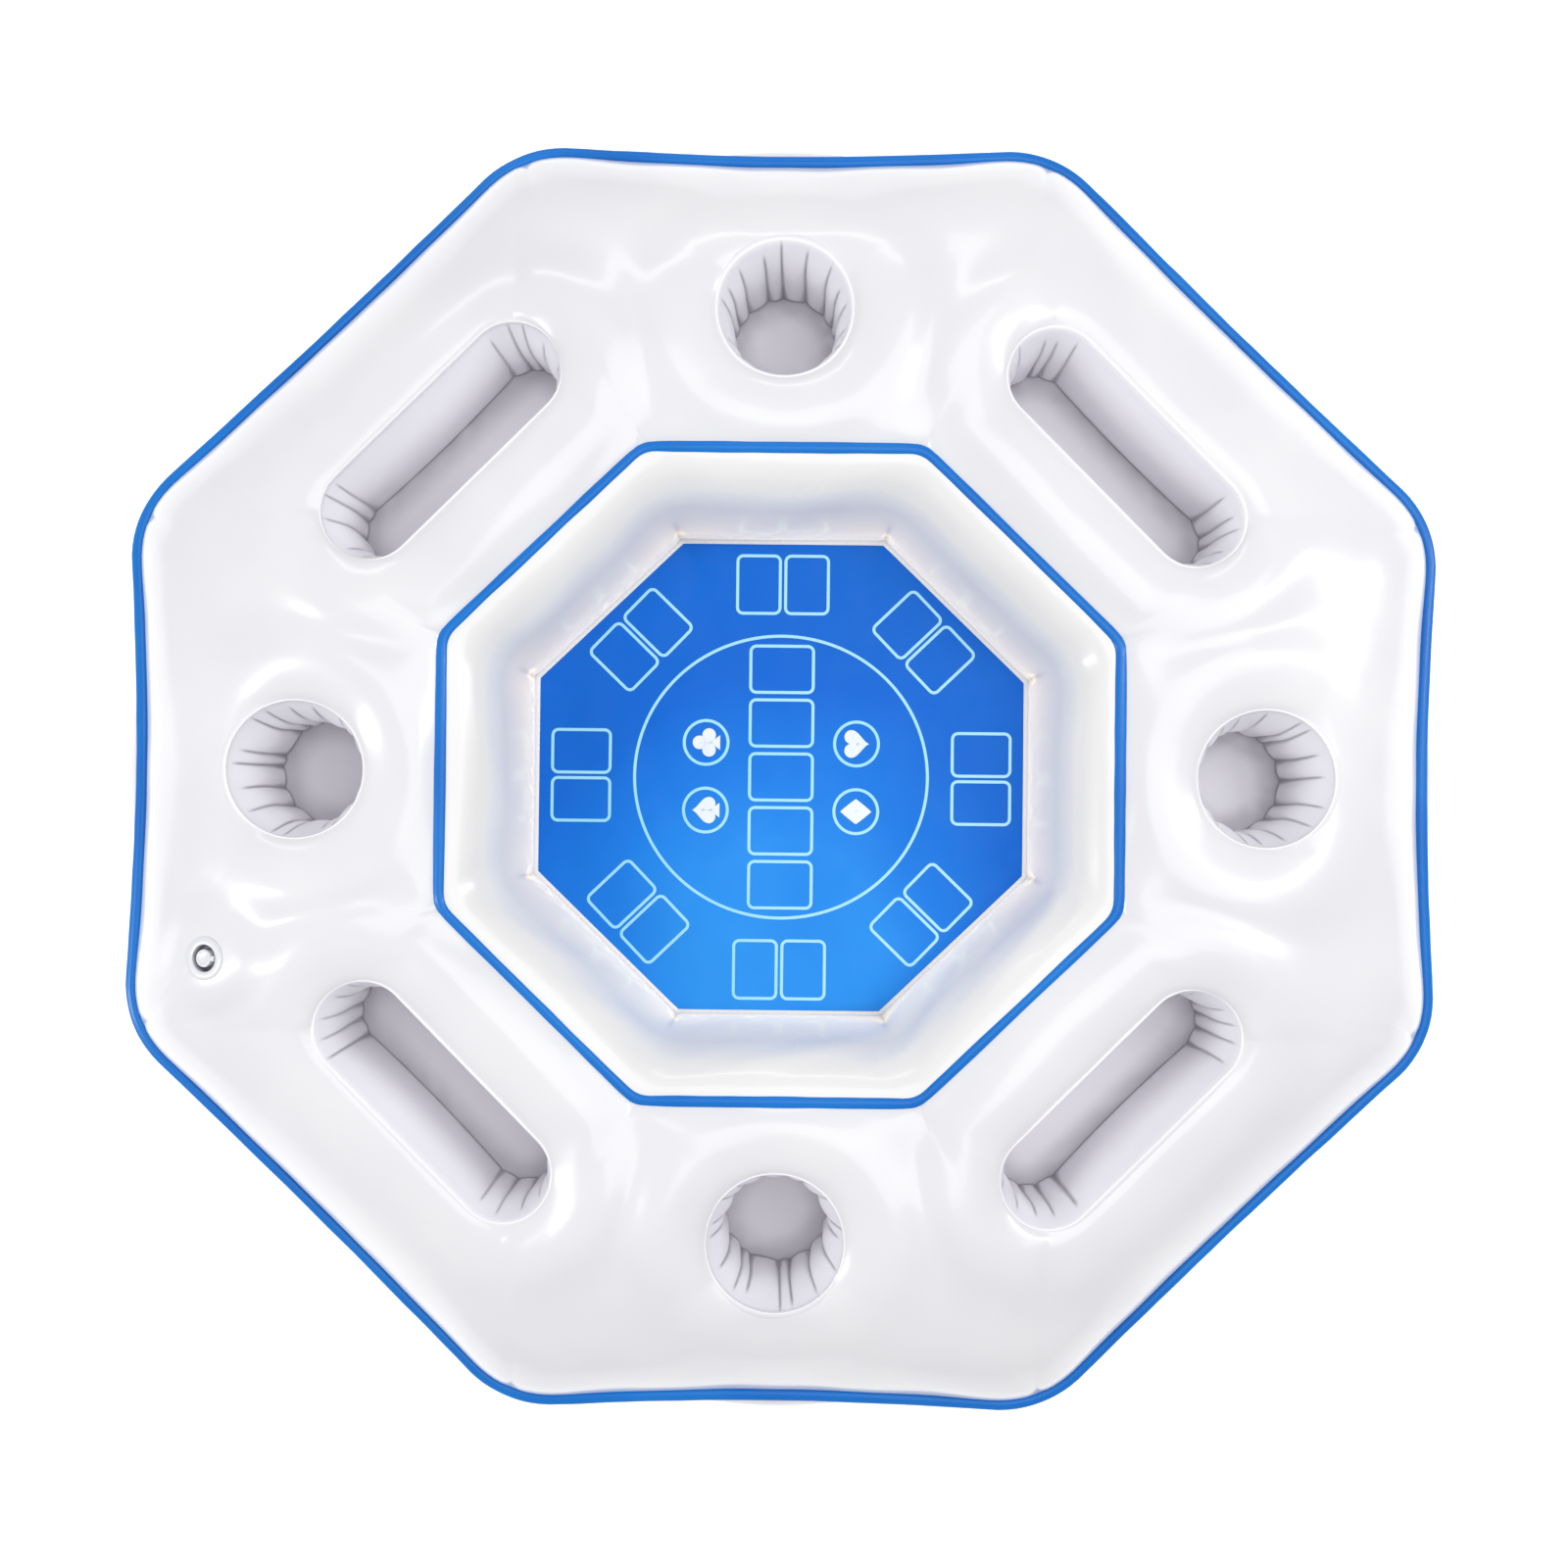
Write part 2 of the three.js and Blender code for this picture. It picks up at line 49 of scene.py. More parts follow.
SEAM_APOTHEM = 0.4960          # middle of the outer piping
SEAM_HEIGHT = 0.081
CORNER_RADIUS = 0.085          # of the outer piping
CREST_APOTHEM = 0.345
CREST_HEIGHT = 0.162
OUTER_FULLNESS = 0.66          # 0.5 would leave the seam upright, and 1 gives a sharp lens
RIM_APOTHEM = 0.2485           # middle of the inner piping
RIM_HEIGHT = 0.150
RIM_CORNER = 0.026             # corner radius of the inner piping
PANEL_EDGE = SEAM_APOTHEM - 0.002
PANEL_RIM = RIM_APOTHEM + 0.002
BEAD_WIDTH = 0.0046            # half widths of the piping
BEAD_HEIGHT = 0.0030
BEAD_OUTWARD = 0.0012          # how far the outer piping stands out past its seam

FILM = 0.0012                  # thickness
FILM_WAVE = 0.0010             # height of the ring's slow unevenness
FILM_WAVE_LENGTH = 0.16
BLOWN_UP_BY = 0.004            # the most that the simulation moves a point

MAT_HEIGHT = 0.026
MAT_EDGE = 0.1977
MAT_PRINT = 0.1930             # apothem of the blue print, inside its pale welded margin
WALL_FOOT = 0.0245
WALL_SQUARENESS = 0.85         # 1 curves the wall like an ellipse, and less makes it squarer

UNDER_FLOOR = 0.0233           # the lower film's height where it meets the floors and the mat
BELLY_BAND = (0.250, 0.400)    # apothems between which the ring rests on the ground
REST_SQUASH = 0.006            # how much the ring's own weight flattens it there
SIDE_BELLY = 0.0195            # how far the lower film swells out under the seam beside the cups
SIDE_BELLY_REACH = 0.130       # to each side of the middle of the side
SIDE_BELLY_LOW = 0.020         # the height at which it ends
SIDE_BELLY_START = (0.42, 0.46)    # apothems over which it sets in

WELL_APOTHEM = 0.355
MOUTH_DIMPLE = 0.040           # how far the dimple round each well reaches
FLOOR_DIMPLE = 0.035           # the same on the underside
DIMPLE_STEEPNESS = 1.15
RIDGE_GAP = 0.039              # from a well's mouth to the top of the soft ridge round it
RIDGE_SPREAD = 0.020
VALLEY_DEPTH = 0.0064          # how far the film sinks between those ridges
CUP = {"half_core": 0.0, "mouth": 0.050, "floor": 0.042, "side_hollow": 0.006}
TRAY = {"half_core": 0.074, "mouth": 0.035, "floor": 0.029, "side_hollow": 0.0015}

VALVE_PLACE = (-0.419, -0.139, 0.151124)
VALVE_TILT = math.radians(-20)
VALVE_FLAT = 0.024             # the film lies flat about this far from the valve's axis
VALVE_HOLE = 0.013

# Camera, floor and light -----------------------------------

CAMERA_PLACE = (0.0105, -0.0250, 1.4954)
CAMERA_TURN = (-0.0133, -0.0053, -0.0107)
CAMERA_VIEW = math.radians(46.12)
SOFTBOXES = {                  # place, size, and power in watts
    "key_east": ((1.6, 0.4, 1.6), (0.22, 1.7), 14),
    "strip_north": ((-0.4, 1.8, 1.5), (1.8, 0.2), 4),
    "strip_west": ((-1.8, -0.5, 1.5), (0.2, 1.5), 16),
    "overhead": ((0.5, 0.2, 2.6), (1.6, 1.6), 14),
}
SKY = (0.985, 0.985, 1, 1)
SKY_STRENGTH = 0.52
FLOOR_REACH = 12
FLOOR_GAP = 0.0005             # keeps the floor clear of the table's underside
FLOOR_COLOUR = (0.93, 0.93, 0.94, 1)
FLOOR_GLOW = 0.42


def make_camera():
    turn_x, turn_y, turn_z = (Matrix.Rotation(turn, 3, axis) for turn, axis in zip(CAMERA_TURN, "XYZ"))
    camera = bpy.data.objects.new("camera", bpy.data.cameras.new("camera"))
    camera.data.sensor_fit = "HORIZONTAL"
    camera.data.angle = CAMERA_VIEW
    camera.matrix_world = (turn_x @ turn_y @ turn_z).transposed().to_4x4()
    camera.location = CAMERA_PLACE
    bpy.context.collection.objects.link(camera)
    bpy.context.scene.camera = camera


def add_softbox(name, place, size, power):
    light = bpy.data.lights.new(name, "AREA")
    light.shape = "RECTANGLE"
    light.size, light.size_y = size
    light.energy = power
    softbox = bpy.data.objects.new(name, light)
    softbox.location = place
    softbox.rotation_euler = (-Vector(place)).to_track_quat("-Z", "Y").to_euler()
    bpy.context.collection.objects.link(softbox)


def make_floor():
    floor_mesh = bpy.data.meshes.new("floor")
    corners = [(FLOOR_REACH * x, FLOOR_REACH * y, 0) for x, y in ((-1, -1), (1, -1), (1, 1), (-1, 1))]
    floor_mesh.from_pydata(corners, [], [(0, 1, 2, 3)])
    floor = bpy.data.objects.new("floor", floor_mesh)
    floor.location.z = -FLOOR_GAP
    material, _, shader = new_material("pale_floor")
    shader.inputs["Base Color"].default_value = FLOOR_COLOUR
    shader.inputs["Roughness"].default_value = 0.8
    shader.inputs["Emission Color"].default_value = (1, 1, 1, 1)
    shader.inputs["Emission Strength"].default_value = FLOOR_GLOW
    floor_mesh.materials.append(material)
    bpy.context.collection.objects.link(floor)


def make_studio():
    world = bpy.data.worlds.new("studio")
    world.use_nodes = True
    background = world.node_tree.nodes["Background"]
    background.inputs["Color"].default_value = SKY
    background.inputs["Strength"].default_value = SKY_STRENGTH
    bpy.context.scene.world = world
    bpy.context.scene.view_settings.view_transform = "Standard"
    for name, (place, size, power) in SOFTBOXES.items():
        add_softbox(name, place, size, power)
    make_floor()


# Materials -------------------------------------------------

GRAIN = 0.00002
# Painted shade colour, mixed into the film in creases, recesses and at the feet of walls.
FOLD_SHADE = (0.09, 0.08, 0.115, 1)
MAT_LEAST_SHADED = (0, -0.13, MAT_HEIGHT)    # the place on the mat where the painted shade is least and its blue palest
MAT_SHADE_FADE = (0.08, 0.25)                # distances from there over which the painted shade deepens the blue


def new_material(name):
    material = bpy.data.materials.new(name)
    material.use_nodes = True
    return material, material.node_tree, material.node_tree.nodes["Principled BSDF"]


def noise_node(tree, scale, detail):
    place = tree.nodes.new("ShaderNodeTexCoord")
    noise = tree.nodes.new("ShaderNodeTexNoise")
    noise.inputs["Scale"].default_value = scale
    noise.inputs["Detail"].default_value = detail
    tree.links.new(place.outputs["Object"], noise.inputs["Vector"])
    return noise.outputs["Fac"]


def ramp(tree, value, stops):
    node = tree.nodes.new("ShaderNodeValToRGB")
    while len(node.color_ramp.elements) < len(stops):
        node.color_ramp.elements.new(0.5)
    for element, (position, colour) in zip(node.color_ramp.elements, stops):
        element.position = position
        element.color = (*colour, 1)
    tree.links.new(value, node.inputs["Fac"])
    return node.outputs["Color"]


def spread(tree, value, low, high, start=0.3, end=0.7):
    """Maps a value's range, from start to end, onto the range from low to high."""
    node = tree.nodes.new("ShaderNodeMapRange")
    node.inputs["From Min"].default_value = start
    node.inputs["From Max"].default_value = end
    node.inputs["To Min"].default_value = low
    node.inputs["To Max"].default_value = high
    tree.links.new(value, node.inputs["Value"])
    return node.outputs["Result"]


def bump(tree, height, strength, distance, under=None):
    node = tree.nodes.new("ShaderNodeBump")
    node.inputs["Strength"].default_value = strength
    node.inputs["Distance"].default_value = distance
    tree.links.new(height, node.inputs["Height"])
    if under is not None:
        tree.links.new(under, node.inputs["Normal"])
    return node.outputs["Normal"]


def painted_fold_shade(tree, film):
    """Painted shade: the film's colour is darker where its fold value is high, as shadow gathers in sharp
    creases.
    """
    fold = tree.nodes.new("ShaderNodeAttribute")
    fold.attribute_name = "fold"
    mix = tree.nodes.new("ShaderNodeMix")
    mix.data_type = "RGBA"
    tree.links.new(fold.outputs["Fac"], mix.inputs["Factor"])
    tree.links.new(film, mix.inputs[6])
    mix.inputs[7].default_value = FOLD_SHADE
    return mix.outputs[2]


def height_share(tree, bottom, top):
    place = tree.nodes.new("ShaderNodeTexCoord")
    split = tree.nodes.new("ShaderNodeSeparateXYZ")
    tree.links.new(place.outputs["Object"], split.inputs["Vector"])
    return spread(tree, split.outputs["Z"], 0, 1, bottom, top)


def add_painted_glow(look, stops, bottom, top):
    """Painted light: the film glows with a ramp of colours between two heights."""
    tree = look.node_tree
    shader = tree.nodes["Principled BSDF"]
    glow = ramp(tree, height_share(tree, bottom, top), stops)
    tree.links.new(glow, shader.inputs["Emission Color"])
    shader.inputs["Emission Strength"].default_value = 1
    return look


def add_tint(look, stops, bottom, top):
    """Multiplies the film's colour by a ramp of tints between two heights."""
    tree = look.node_tree
    base = tree.nodes["Principled BSDF"].inputs["Base Color"]
    film = base.links[0].from_socket
    mix = tree.nodes.new("ShaderNodeMix")
    mix.data_type = "RGBA"
    mix.blend_type = "MULTIPLY"
    mix.inputs["Factor"].default_value = 1
    tree.links.new(film, mix.inputs[6])
    tree.links.new(ramp(tree, height_share(tree, bottom, top), stops), mix.inputs[7])
    tree.links.new(mix.outputs[2], base)
    return look


def soft_vinyl(name, dark, light, roughness, coat=0.35, dents=0.0003, shine=0.5):
    """Glossy calendered film: faint cloudiness, shallow dents, fine grain and uneven polish."""
    material, tree, shader = new_material(name)
    cloud = noise_node(tree, scale=9, detail=2)
    film = ramp(tree, cloud, [(0.35, dark), (0.65, light)])
    # Painted shade from the fold attribute darkens the film's colour.
    tree.links.new(painted_fold_shade(tree, film), shader.inputs["Base Color"])
    polish = noise_node(tree, scale=12, detail=1)
    tree.links.new(spread(tree, polish, roughness - 0.02, roughness + 0.02), shader.inputs["Roughness"])
    relief = bump(tree, noise_node(tree, scale=16, detail=2), 0.5, dents)
    fine = bump(tree, noise_node(tree, scale=1400, detail=2), 0.35, GRAIN, relief)
    tree.links.new(fine, shader.inputs["Normal"])
    shader.inputs["IOR"].default_value = 1.53
    shader.inputs["Specular IOR Level"].default_value = shine
    shader.inputs["Coat Weight"].default_value = coat
    shader.inputs["Coat Roughness"].default_value = 0.08
    return material


def mat_vinyl():
    """The mat's blue print, with painted shade that leaves it paler towards the middle and the south and
    deeper towards the other edges.
    """
    material, tree, shader = new_material("mat_vinyl")
    place = tree.nodes.new("ShaderNodeTexCoord")
    length = tree.nodes.new("ShaderNodeVectorMath")
    length.operation = "DISTANCE"
    length.inputs[1].default_value = MAT_LEAST_SHADED
    tree.links.new(place.outputs["Object"], length.inputs[0])
    # Painted shade: the blue deepens with distance from the least shaded place, with random patches of tone.
    depth = spread(tree, length.outputs["Value"], 0, 1, *MAT_SHADE_FADE)
    patches = tree.nodes.new("ShaderNodeMath")
    patches.operation = "MULTIPLY_ADD"
    patches.inputs[1].default_value = 0.5
    tree.links.new(noise_node(tree, scale=7, detail=3), patches.inputs[0])
    tree.links.new(depth, patches.inputs[2])
    stops = [(0.2, (0.022, 0.290, 0.860)), (0.55, (0.007, 0.195, 0.755)), (1.0, (0.002, 0.138, 0.660))]
    tree.links.new(ramp(tree, patches.outputs["Value"], stops), shader.inputs["Base Color"])
    polish = noise_node(tree, scale=60, detail=4)
    tree.links.new(spread(tree, polish, 0.28, 0.4), shader.inputs["Roughness"])
    relief = bump(tree, noise_node(tree, scale=30, detail=3), 0.5, 0.0007)
    fine = bump(tree, noise_node(tree, scale=1600, detail=2), 0.4, 0.00003, relief)
    tree.links.new(fine, shader.inputs["Normal"])
    shader.inputs["Specular IOR Level"].default_value = 0.14
    return material


def wall_vinyl():
    """White film with a painted warm tint and painted glow towards the mat, set against the shade and the
    mat's blue bounce light there.
    """
    look = soft_vinyl("wall_vinyl", (0.83, 0.825, 0.82), (0.86, 0.855, 0.85), 0.26)
    painted_warm_tint = [(0, (0.96, 0.94, 0.93)), (0.3, (0.98, 0.89, 0.74)), (1, (1, 1, 1))]
    painted_glow_ramp = [(0, (0.20, 0.20, 0.20)), (0.28, (0.58, 0.50, 0.33)), (1, (0, 0, 0))]
    # Painted warm tint and painted glow, strongest low on the wall.
    add_tint(look, painted_warm_tint, bottom=MAT_HEIGHT, top=0.130)
    return add_painted_glow(look, painted_glow_ramp, bottom=MAT_HEIGHT, top=0.115)


def well_vinyl():
    """Slightly mauve film of the sleeves and floors, with a little painted glow that grows towards the rim.
    """
    look = soft_vinyl("well_vinyl", (0.84, 0.83, 0.87), (0.88, 0.87, 0.91), 0.30, coat=0.15)
    return add_painted_glow(look, [(0, (0.06, 0.057, 0.064)), (1, (0.10, 0.10, 0.10))], bottom=0.03, top=RIM_HEIGHT)


# The eight-sided plan --------------------------------------

WELL_NAMES = ("east", "north_east", "north", "north_west", "west", "south_west", "south", "south_east")


def on_side(out, along, sector):
    turn = 2 * HALF_SECTOR * sector
    x = out * np.cos(turn) - along * np.sin(turn)
    y = (out * np.sin(turn) + along * np.cos(turn)) * DEPTH_RATIO
    return np.stack(np.broadcast_arrays(x, y), axis=-1)


def make_wells():
    wells = []
    for sector, name in enumerate(WELL_NAMES):
        kind = "tray" if sector % 2 else "cup"
        turn = 2 * HALF_SECTOR * sector
        wells.append({
            **(TRAY if sector % 2 else CUP),
            "name": name,
            "kind": kind,
            "sector": sector,
            "centre": on_side(WELL_APOTHEM, 0, sector),
            "core": np.array([-math.sin(turn), math.cos(turn)]),
        })
    return wells


WELLS = make_wells()
SIDE_HOLLOWS = np.array([well["side_hollow"] for well in WELLS])


def rounded_side(apothem, along, sector, radius, hollow=0.0):
    """A point of a rounded side, from along = -1 at one corner to 1 at the next."""
    straight = (apothem - radius) * LEAN
    run = np.abs(along) * (straight + radius * HALF_SECTOR)
    turn = np.maximum(0, run - straight) / np.maximum(radius, 1e-6)
    dip = hollow * np.cos(math.pi / 2 * np.minimum(1, run / straight))
    out = apothem - dip - radius + radius * np.cos(turn)
    return on_side(out, np.sign(along) * (np.minimum(run, straight) + radius * np.sin(turn)), sector)


def outer_side(apothem, along, sector):
    return rounded_side(apothem, along, sector, CORNER_RADIUS, WELLS[sector]["side_hollow"])


def facing(plan):
    """Each point's sector, distance out and distance along the side that it faces."""
    x, y = plan[..., 0], plan[..., 1] / DEPTH_RATIO
    distance, heading = np.hypot(x, y), np.arctan2(y, x)
    side = np.round(heading / (2 * HALF_SECTOR))
    turn = heading - 2 * HALF_SECTOR * side
    return side.astype(int) % SECTORS, distance * np.cos(turn), np.abs(distance * np.sin(turn))


def reach(plan, rounding, hollows):
    """The apothem of the rounded, hollow-sided outline through each point."""
    sector, out, along = facing(plan)
    straight = (1 - rounding) * out * LEAN
    dip = hollows[sector] * np.cos(math.pi / 2 * np.minimum(1, along / straight))
    a = ((1 - rounding) / math.cos(HALF_SECTOR)) ** 2 - rounding ** 2
    b = (1 - rounding) * (out + LEAN * along)
    rounded = (b - np.sqrt(np.maximum(0, b * b - a * (out * out + along * along)))) / a
    return np.where(along <= straight, out + dip, rounded)


def outer_reach(plan):
    return reach(plan, CORNER_RADIUS / SEAM_APOTHEM, SIDE_HOLLOWS)


def rim_reach(plan):
    return reach(plan, RIM_CORNER / RIM_APOTHEM, 0 * SIDE_HOLLOWS)


def nearest_on_core(well, plan):
    along = np.clip((plan - well["centre"]) @ well["core"], -well["half_core"], well["half_core"])
    return well["centre"] + along[..., None] * well["core"]


# Shapes of the inflated film -------------------------------


def round_over(share, fullness=0.5):
    return np.maximum(0, 1 - share * share) ** fullness


def smooth(value, low, high):
    share = np.clip((value - low) / (high - low), 0, 1)
    return share * share * (3 - 2 * share)


WAVE_COUNT = 9


def waves(points, length, seed):
    """Smooth random relief from -1 to 1, of about one wavelength, at 2-D or 1-D points."""
    random = np.random.default_rng(seed)
    points = np.asarray(points, float)
    if points.ndim == 1:
        points = np.stack([points, np.zeros_like(points)], axis=-1)
    total = 0
    for _ in range(WAVE_COUNT):
        heading = random.uniform(0, math.tau)
        pitch = math.tau / (length * random.uniform(0.7, 1.6))
        phase = random.uniform(0, math.tau)
        across = points[..., 0] * math.cos(heading) + points[..., 1] * math.sin(heading)
        total = total + np.sin(pitch * across + phase)
    return 2 * total / WAVE_COUNT


def off_core(well, plan):
    return np.linalg.norm(plan - nearest_on_core(well, plan), axis=-1)


def gap_to(well, plan, radius_name):
    return off_core(well, plan) - well[radius_name]


def rise_from_wells(plan, radius_name, width):
    """0 at the wells' edges, rising steeply then levelling off at 1, clear of all of them."""
    share = 1.0
    for well in WELLS:
        across = np.clip(gap_to(well, plan, radius_name) / width, 0, 1)
        share = share * round_over(1 - across) ** DIMPLE_STEEPNESS
    return share


def valleys(plan):
    """How far the film sinks between the soft ridges that stand round each well."""
    gaps = np.stack([gap_to(well, plan, "mouth") for well in WELLS])
    ridge = np.exp(-(np.maximum(0, gaps - RIDGE_GAP) / RIDGE_SPREAD) ** 2).max(axis=0)
    seam = smooth(SEAM_APOTHEM - outer_reach(plan), 0.01, 0.10)
    rim = smooth(rim_reach(plan) - RIM_APOTHEM, 0.002, 0.05)
    return VALLEY_DEPTH * (1 - ridge) * seam * rim


def top_height(plan):
    outer = outer_reach(plan)
    outward = np.clip((outer - CREST_APOTHEM) / (PANEL_EDGE - CREST_APOTHEM), 0, 1)
    inward = np.clip((CREST_APOTHEM - rim_reach(plan)) / (CREST_APOTHEM - PANEL_RIM), 0, 1)
    outside = SEAM_HEIGHT + (CREST_HEIGHT - SEAM_HEIGHT) * round_over(outward, OUTER_FULLNESS)
    inside = RIM_HEIGHT + (CREST_HEIGHT - RIM_HEIGHT) * round_over(inward)
    ring = np.where(outer > CREST_APOTHEM, outside, inside)
    clear = rise_from_wells(plan, "mouth", MOUTH_DIMPLE)
    return RIM_HEIGHT + (ring - RIM_HEIGHT) * np.where(ring > RIM_HEIGHT, clear, smooth(clear, 0, 0.6))


def underside_height(plan):
    _, out, _ = facing(plan)
    inner, outer = BELLY_BAND
    inward = np.clip((inner - out) / (inner - MAT_EDGE), 0, 1)
    outward = np.clip((outer_reach(plan) - outer) / (PANEL_EDGE - outer), 0, 1)
    edge = np.where(out < inner, UNDER_FLOOR, SEAM_HEIGHT)
    ring = edge - (edge + REST_SQUASH) * round_over(np.where(out < inner, inward, outward), OUTER_FULLNESS)
    clear = rise_from_wells(plan, "floor", FLOOR_DIMPLE)
    return np.maximum(0, UNDER_FLOOR + (ring - UNDER_FLOOR) * clear)


def valve_matrix():
    return Matrix.Translation(VALVE_PLACE) @ Matrix.Rotation(VALVE_TILT, 4, "Y")


def valve_axes():
    turn = Matrix.Rotation(VALVE_TILT, 3, "Y")
    return np.array(VALVE_PLACE), np.array(turn @ Vector((0, 0, 1)))


def flattened_at_valve(points):
    """Brings the film into the plane of the valve's flange, round the valve."""
    place, axis = valve_axes()
    offset = points - place
    height = offset @ axis
    distance = np.linalg.norm(offset - height[..., None] * axis, axis=-1)
    pull = 1 - smooth(distance, VALVE_FLAT * 0.8, VALVE_FLAT * 2)
    plane_z = place[2] - ((points[..., :2] - place[:2]) @ axis[:2]) / axis[2]
    points[..., 2] += pull * (plane_z - points[..., 2])
    return points


# Mesh building ---------------------------------------------


def paint_fold_shade(piece, values):
    # Stores each point's painted fold shade as the fold attribute.
    fold = piece.data.attributes.new("fold", "FLOAT", "POINT")
    fold.data.foreach_set("value", np.clip(values, 0, 1).ravel())


def grid_faces(rows, columns):
    """Faces between closed rings of points, each ring joined to the next."""
    faces = []
    for start in range(0, (rows - 1) * columns, columns):
        for i in range(columns):
            near = start + i
            across = start + (i + 1) % columns
            faces.append((near, across, across + columns, near + columns))
    return faces


def add_piece(name, vertices, faces, look, body="root", flipped=False):
    mesh = bpy.data.meshes.new(name)
    mesh.from_pydata(np.asarray(vertices, float).reshape(-1, 3).tolist(), [], faces)
    if flipped:
        mesh.flip_normals()
    mesh.polygons.foreach_set("use_smooth", [True] * len(mesh.polygons))
    mesh.materials.append(LOOKS[look])
    piece = bpy.data.objects.new(name, mesh)
    bpy.context.collection.objects.link(piece)
    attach(piece, body)
    return piece


def weld(piece, distance=1e-5):
    mesh = bmesh.new()
    mesh.from_mesh(piece.data)
    bmesh.ops.remove_doubles(mesh, verts=mesh.verts, dist=distance)
    mesh.to_mesh(piece.data)
    mesh.free()


def soften(piece):
    modifier = piece.modifiers.new("smooth", "SUBSURF")
    modifier.levels = 1
    modifier.render_levels = 1


def apply_modifiers(piece):
    result = piece.evaluated_get(bpy.context.evaluated_depsgraph_get())
    piece.data = bpy.data.meshes.new_from_object(result)
    piece.modifiers.clear()


def thicken(piece, thickness=FILM):
    modifier = piece.modifiers.new("film", "SOLIDIFY")
    modifier.thickness = thickness
    modifier.offset = -1


def coordinates(mesh):
    points = np.empty(len(mesh.vertices) * 3)
    mesh.vertices.foreach_get("co", points)
    return points.reshape(-1, 3)


def open_edge_points(mesh):
    work = bmesh.new()
    work.from_mesh(mesh)
    border = [vertex.index for vertex in work.verts if vertex.is_boundary]
    work.free()
    return border


def averaged(mesh, values, times):
    """Each point's value shared with its neighbours', which takes out the finest wrinkles."""
    ends = np.empty(2 * len(mesh.edges), dtype=int)
    mesh.edges.foreach_get("vertices", ends)
    a, b = ends[::2], ends[1::2]
    count = np.bincount(ends, minlength=len(values))[:, None]
    for _ in range(times):
        total = np.zeros_like(values)
        np.add.at(total, a, values[b])
        np.add.at(total, b, values[a])
        values = 0.5 * values + 0.5 * total / np.maximum(count, 1)
    return values


SIMULATION_FRAMES = 22


def inflate(piece, pressure, slack, cap):
    """Blows the film up with Blender's cloth, held at its welded edges, and keeps the result."""
    start = coordinates(piece.data)
    group = piece.vertex_groups.new(name="welded")
    group.add(open_edge_points(piece.data), 1.0, "REPLACE")
    cloth = piece.modifiers.new("inflate", "CLOTH")
    settings = cloth.settings
    settings.quality = 6
    settings.mass = 0.2
    settings.tension_stiffness = 20
    settings.compression_stiffness = 20
    settings.shear_stiffness = 10
    settings.bending_stiffness = 0.4
    settings.air_damping = 2
    settings.vertex_group_mass = "welded"
    settings.shrink_min = -slack
    settings.use_pressure = True
    settings.uniform_pressure_force = pressure
    settings.effector_weights.gravity = 0
    cloth.collision_settings.use_collision = False
    scene = bpy.context.scene
    scene.frame_start = 1
    scene.frame_end = SIMULATION_FRAMES
    cloth.point_cache.frame_start = 1
    cloth.point_cache.frame_end = SIMULATION_FRAMES
    for number in range(1, SIMULATION_FRAMES + 1):
        scene.frame_set(number)
    result = piece.evaluated_get(bpy.context.evaluated_depsgraph_get())
    moved = coordinates(result.data) - start
    piece.modifiers.remove(cloth)
    scene.frame_set(1)
    moved = averaged(piece.data, moved, times=6)
    length = np.linalg.norm(moved, axis=1, keepdims=True)
    moved *= cap * np.tanh(length / cap) / np.maximum(length, 1e-9)
    piece.data.vertices.foreach_set("co", (start + moved).ravel())
    piece.data.update()


# The two panels of the ring --------------------------------

SIDE_POINTS = 32
CORNER_POINTS = 16
RIM_POINTS = 18
PANEL_ROWS = 17


def sector_loop(sector, outer_apothem, inner_apothem, inner_corner):
    """One eighth of a panel's outline, with how near each of its points is to a seam."""
    along = np.linspace(-1, 1, SIDE_POINTS, endpoint=False)
    outer = outer_side(outer_apothem, along, sector)
    ease = np.arange(CORNER_POINTS) / CORNER_POINTS
    ends = [outer_side(outer_apothem, np.array([end]), sector) for end in (1.0, -1.0)]
    inner_ends = [rounded_side(inner_apothem, np.array([end]), sector, inner_corner) for end in (1.0, -1.0)]
    inward = ends[0] + (inner_ends[0] - ends[0]) * ease[:, None]
    inner_along = 1 - 2 * np.arange(RIM_POINTS) / RIM_POINTS
    inner = rounded_side(inner_apothem, inner_along, sector, inner_corner)
    outward = ends[1] + (inner_ends[1] - ends[1]) * (1 - ease)[:, None]
    near_seam = smooth(np.abs(1 - 2 * ease), 0.4, 1)
    near = np.concatenate([np.ones(SIDE_POINTS), near_seam, np.ones(RIM_POINTS), near_seam])
    return np.concatenate([outer, inward, inner, outward]), near


def panel_plan(well, outer_apothem, inner_apothem, inner_corner, edge_radius):
    loop, near_seam = sector_loop(well["sector"], outer_apothem, inner_apothem, inner_corner)
    core = nearest_on_core(well, loop)
    away = loop - core
    edge = core + away / np.linalg.norm(away, axis=1, keepdims=True) * edge_radius
    shares = np.linspace(0, 1, PANEL_ROWS)[:, None] ** 1.2
    closer_to_seams = 1 - (1 - shares) ** 1.8
    shares = shares + (closer_to_seams - shares) * near_seam
    return edge + (loop - edge) * shares[..., None]


def panel_mesh(name, height_at, outer_apothem, inner_apothem, inner_corner, radius_name, flipped):
    vertices, faces = [], []
    for well in WELLS:
        plan = panel_plan(well, outer_apothem, inner_apothem, inner_corner, well[radius_name])
        rows, columns, _ = plan.shape
        points = np.concatenate([plan, height_at(plan)[..., None]], axis=-1).reshape(-1, 3)
        start = sum(len(part) for part in vertices)
        faces += [tuple(i + start for i in face) for face in grid_faces(rows, columns)]
        vertices.append(points)
    panel = add_piece(name, np.concatenate(vertices), faces, "white_vinyl", flipped=flipped)
    weld(panel)
    return panel


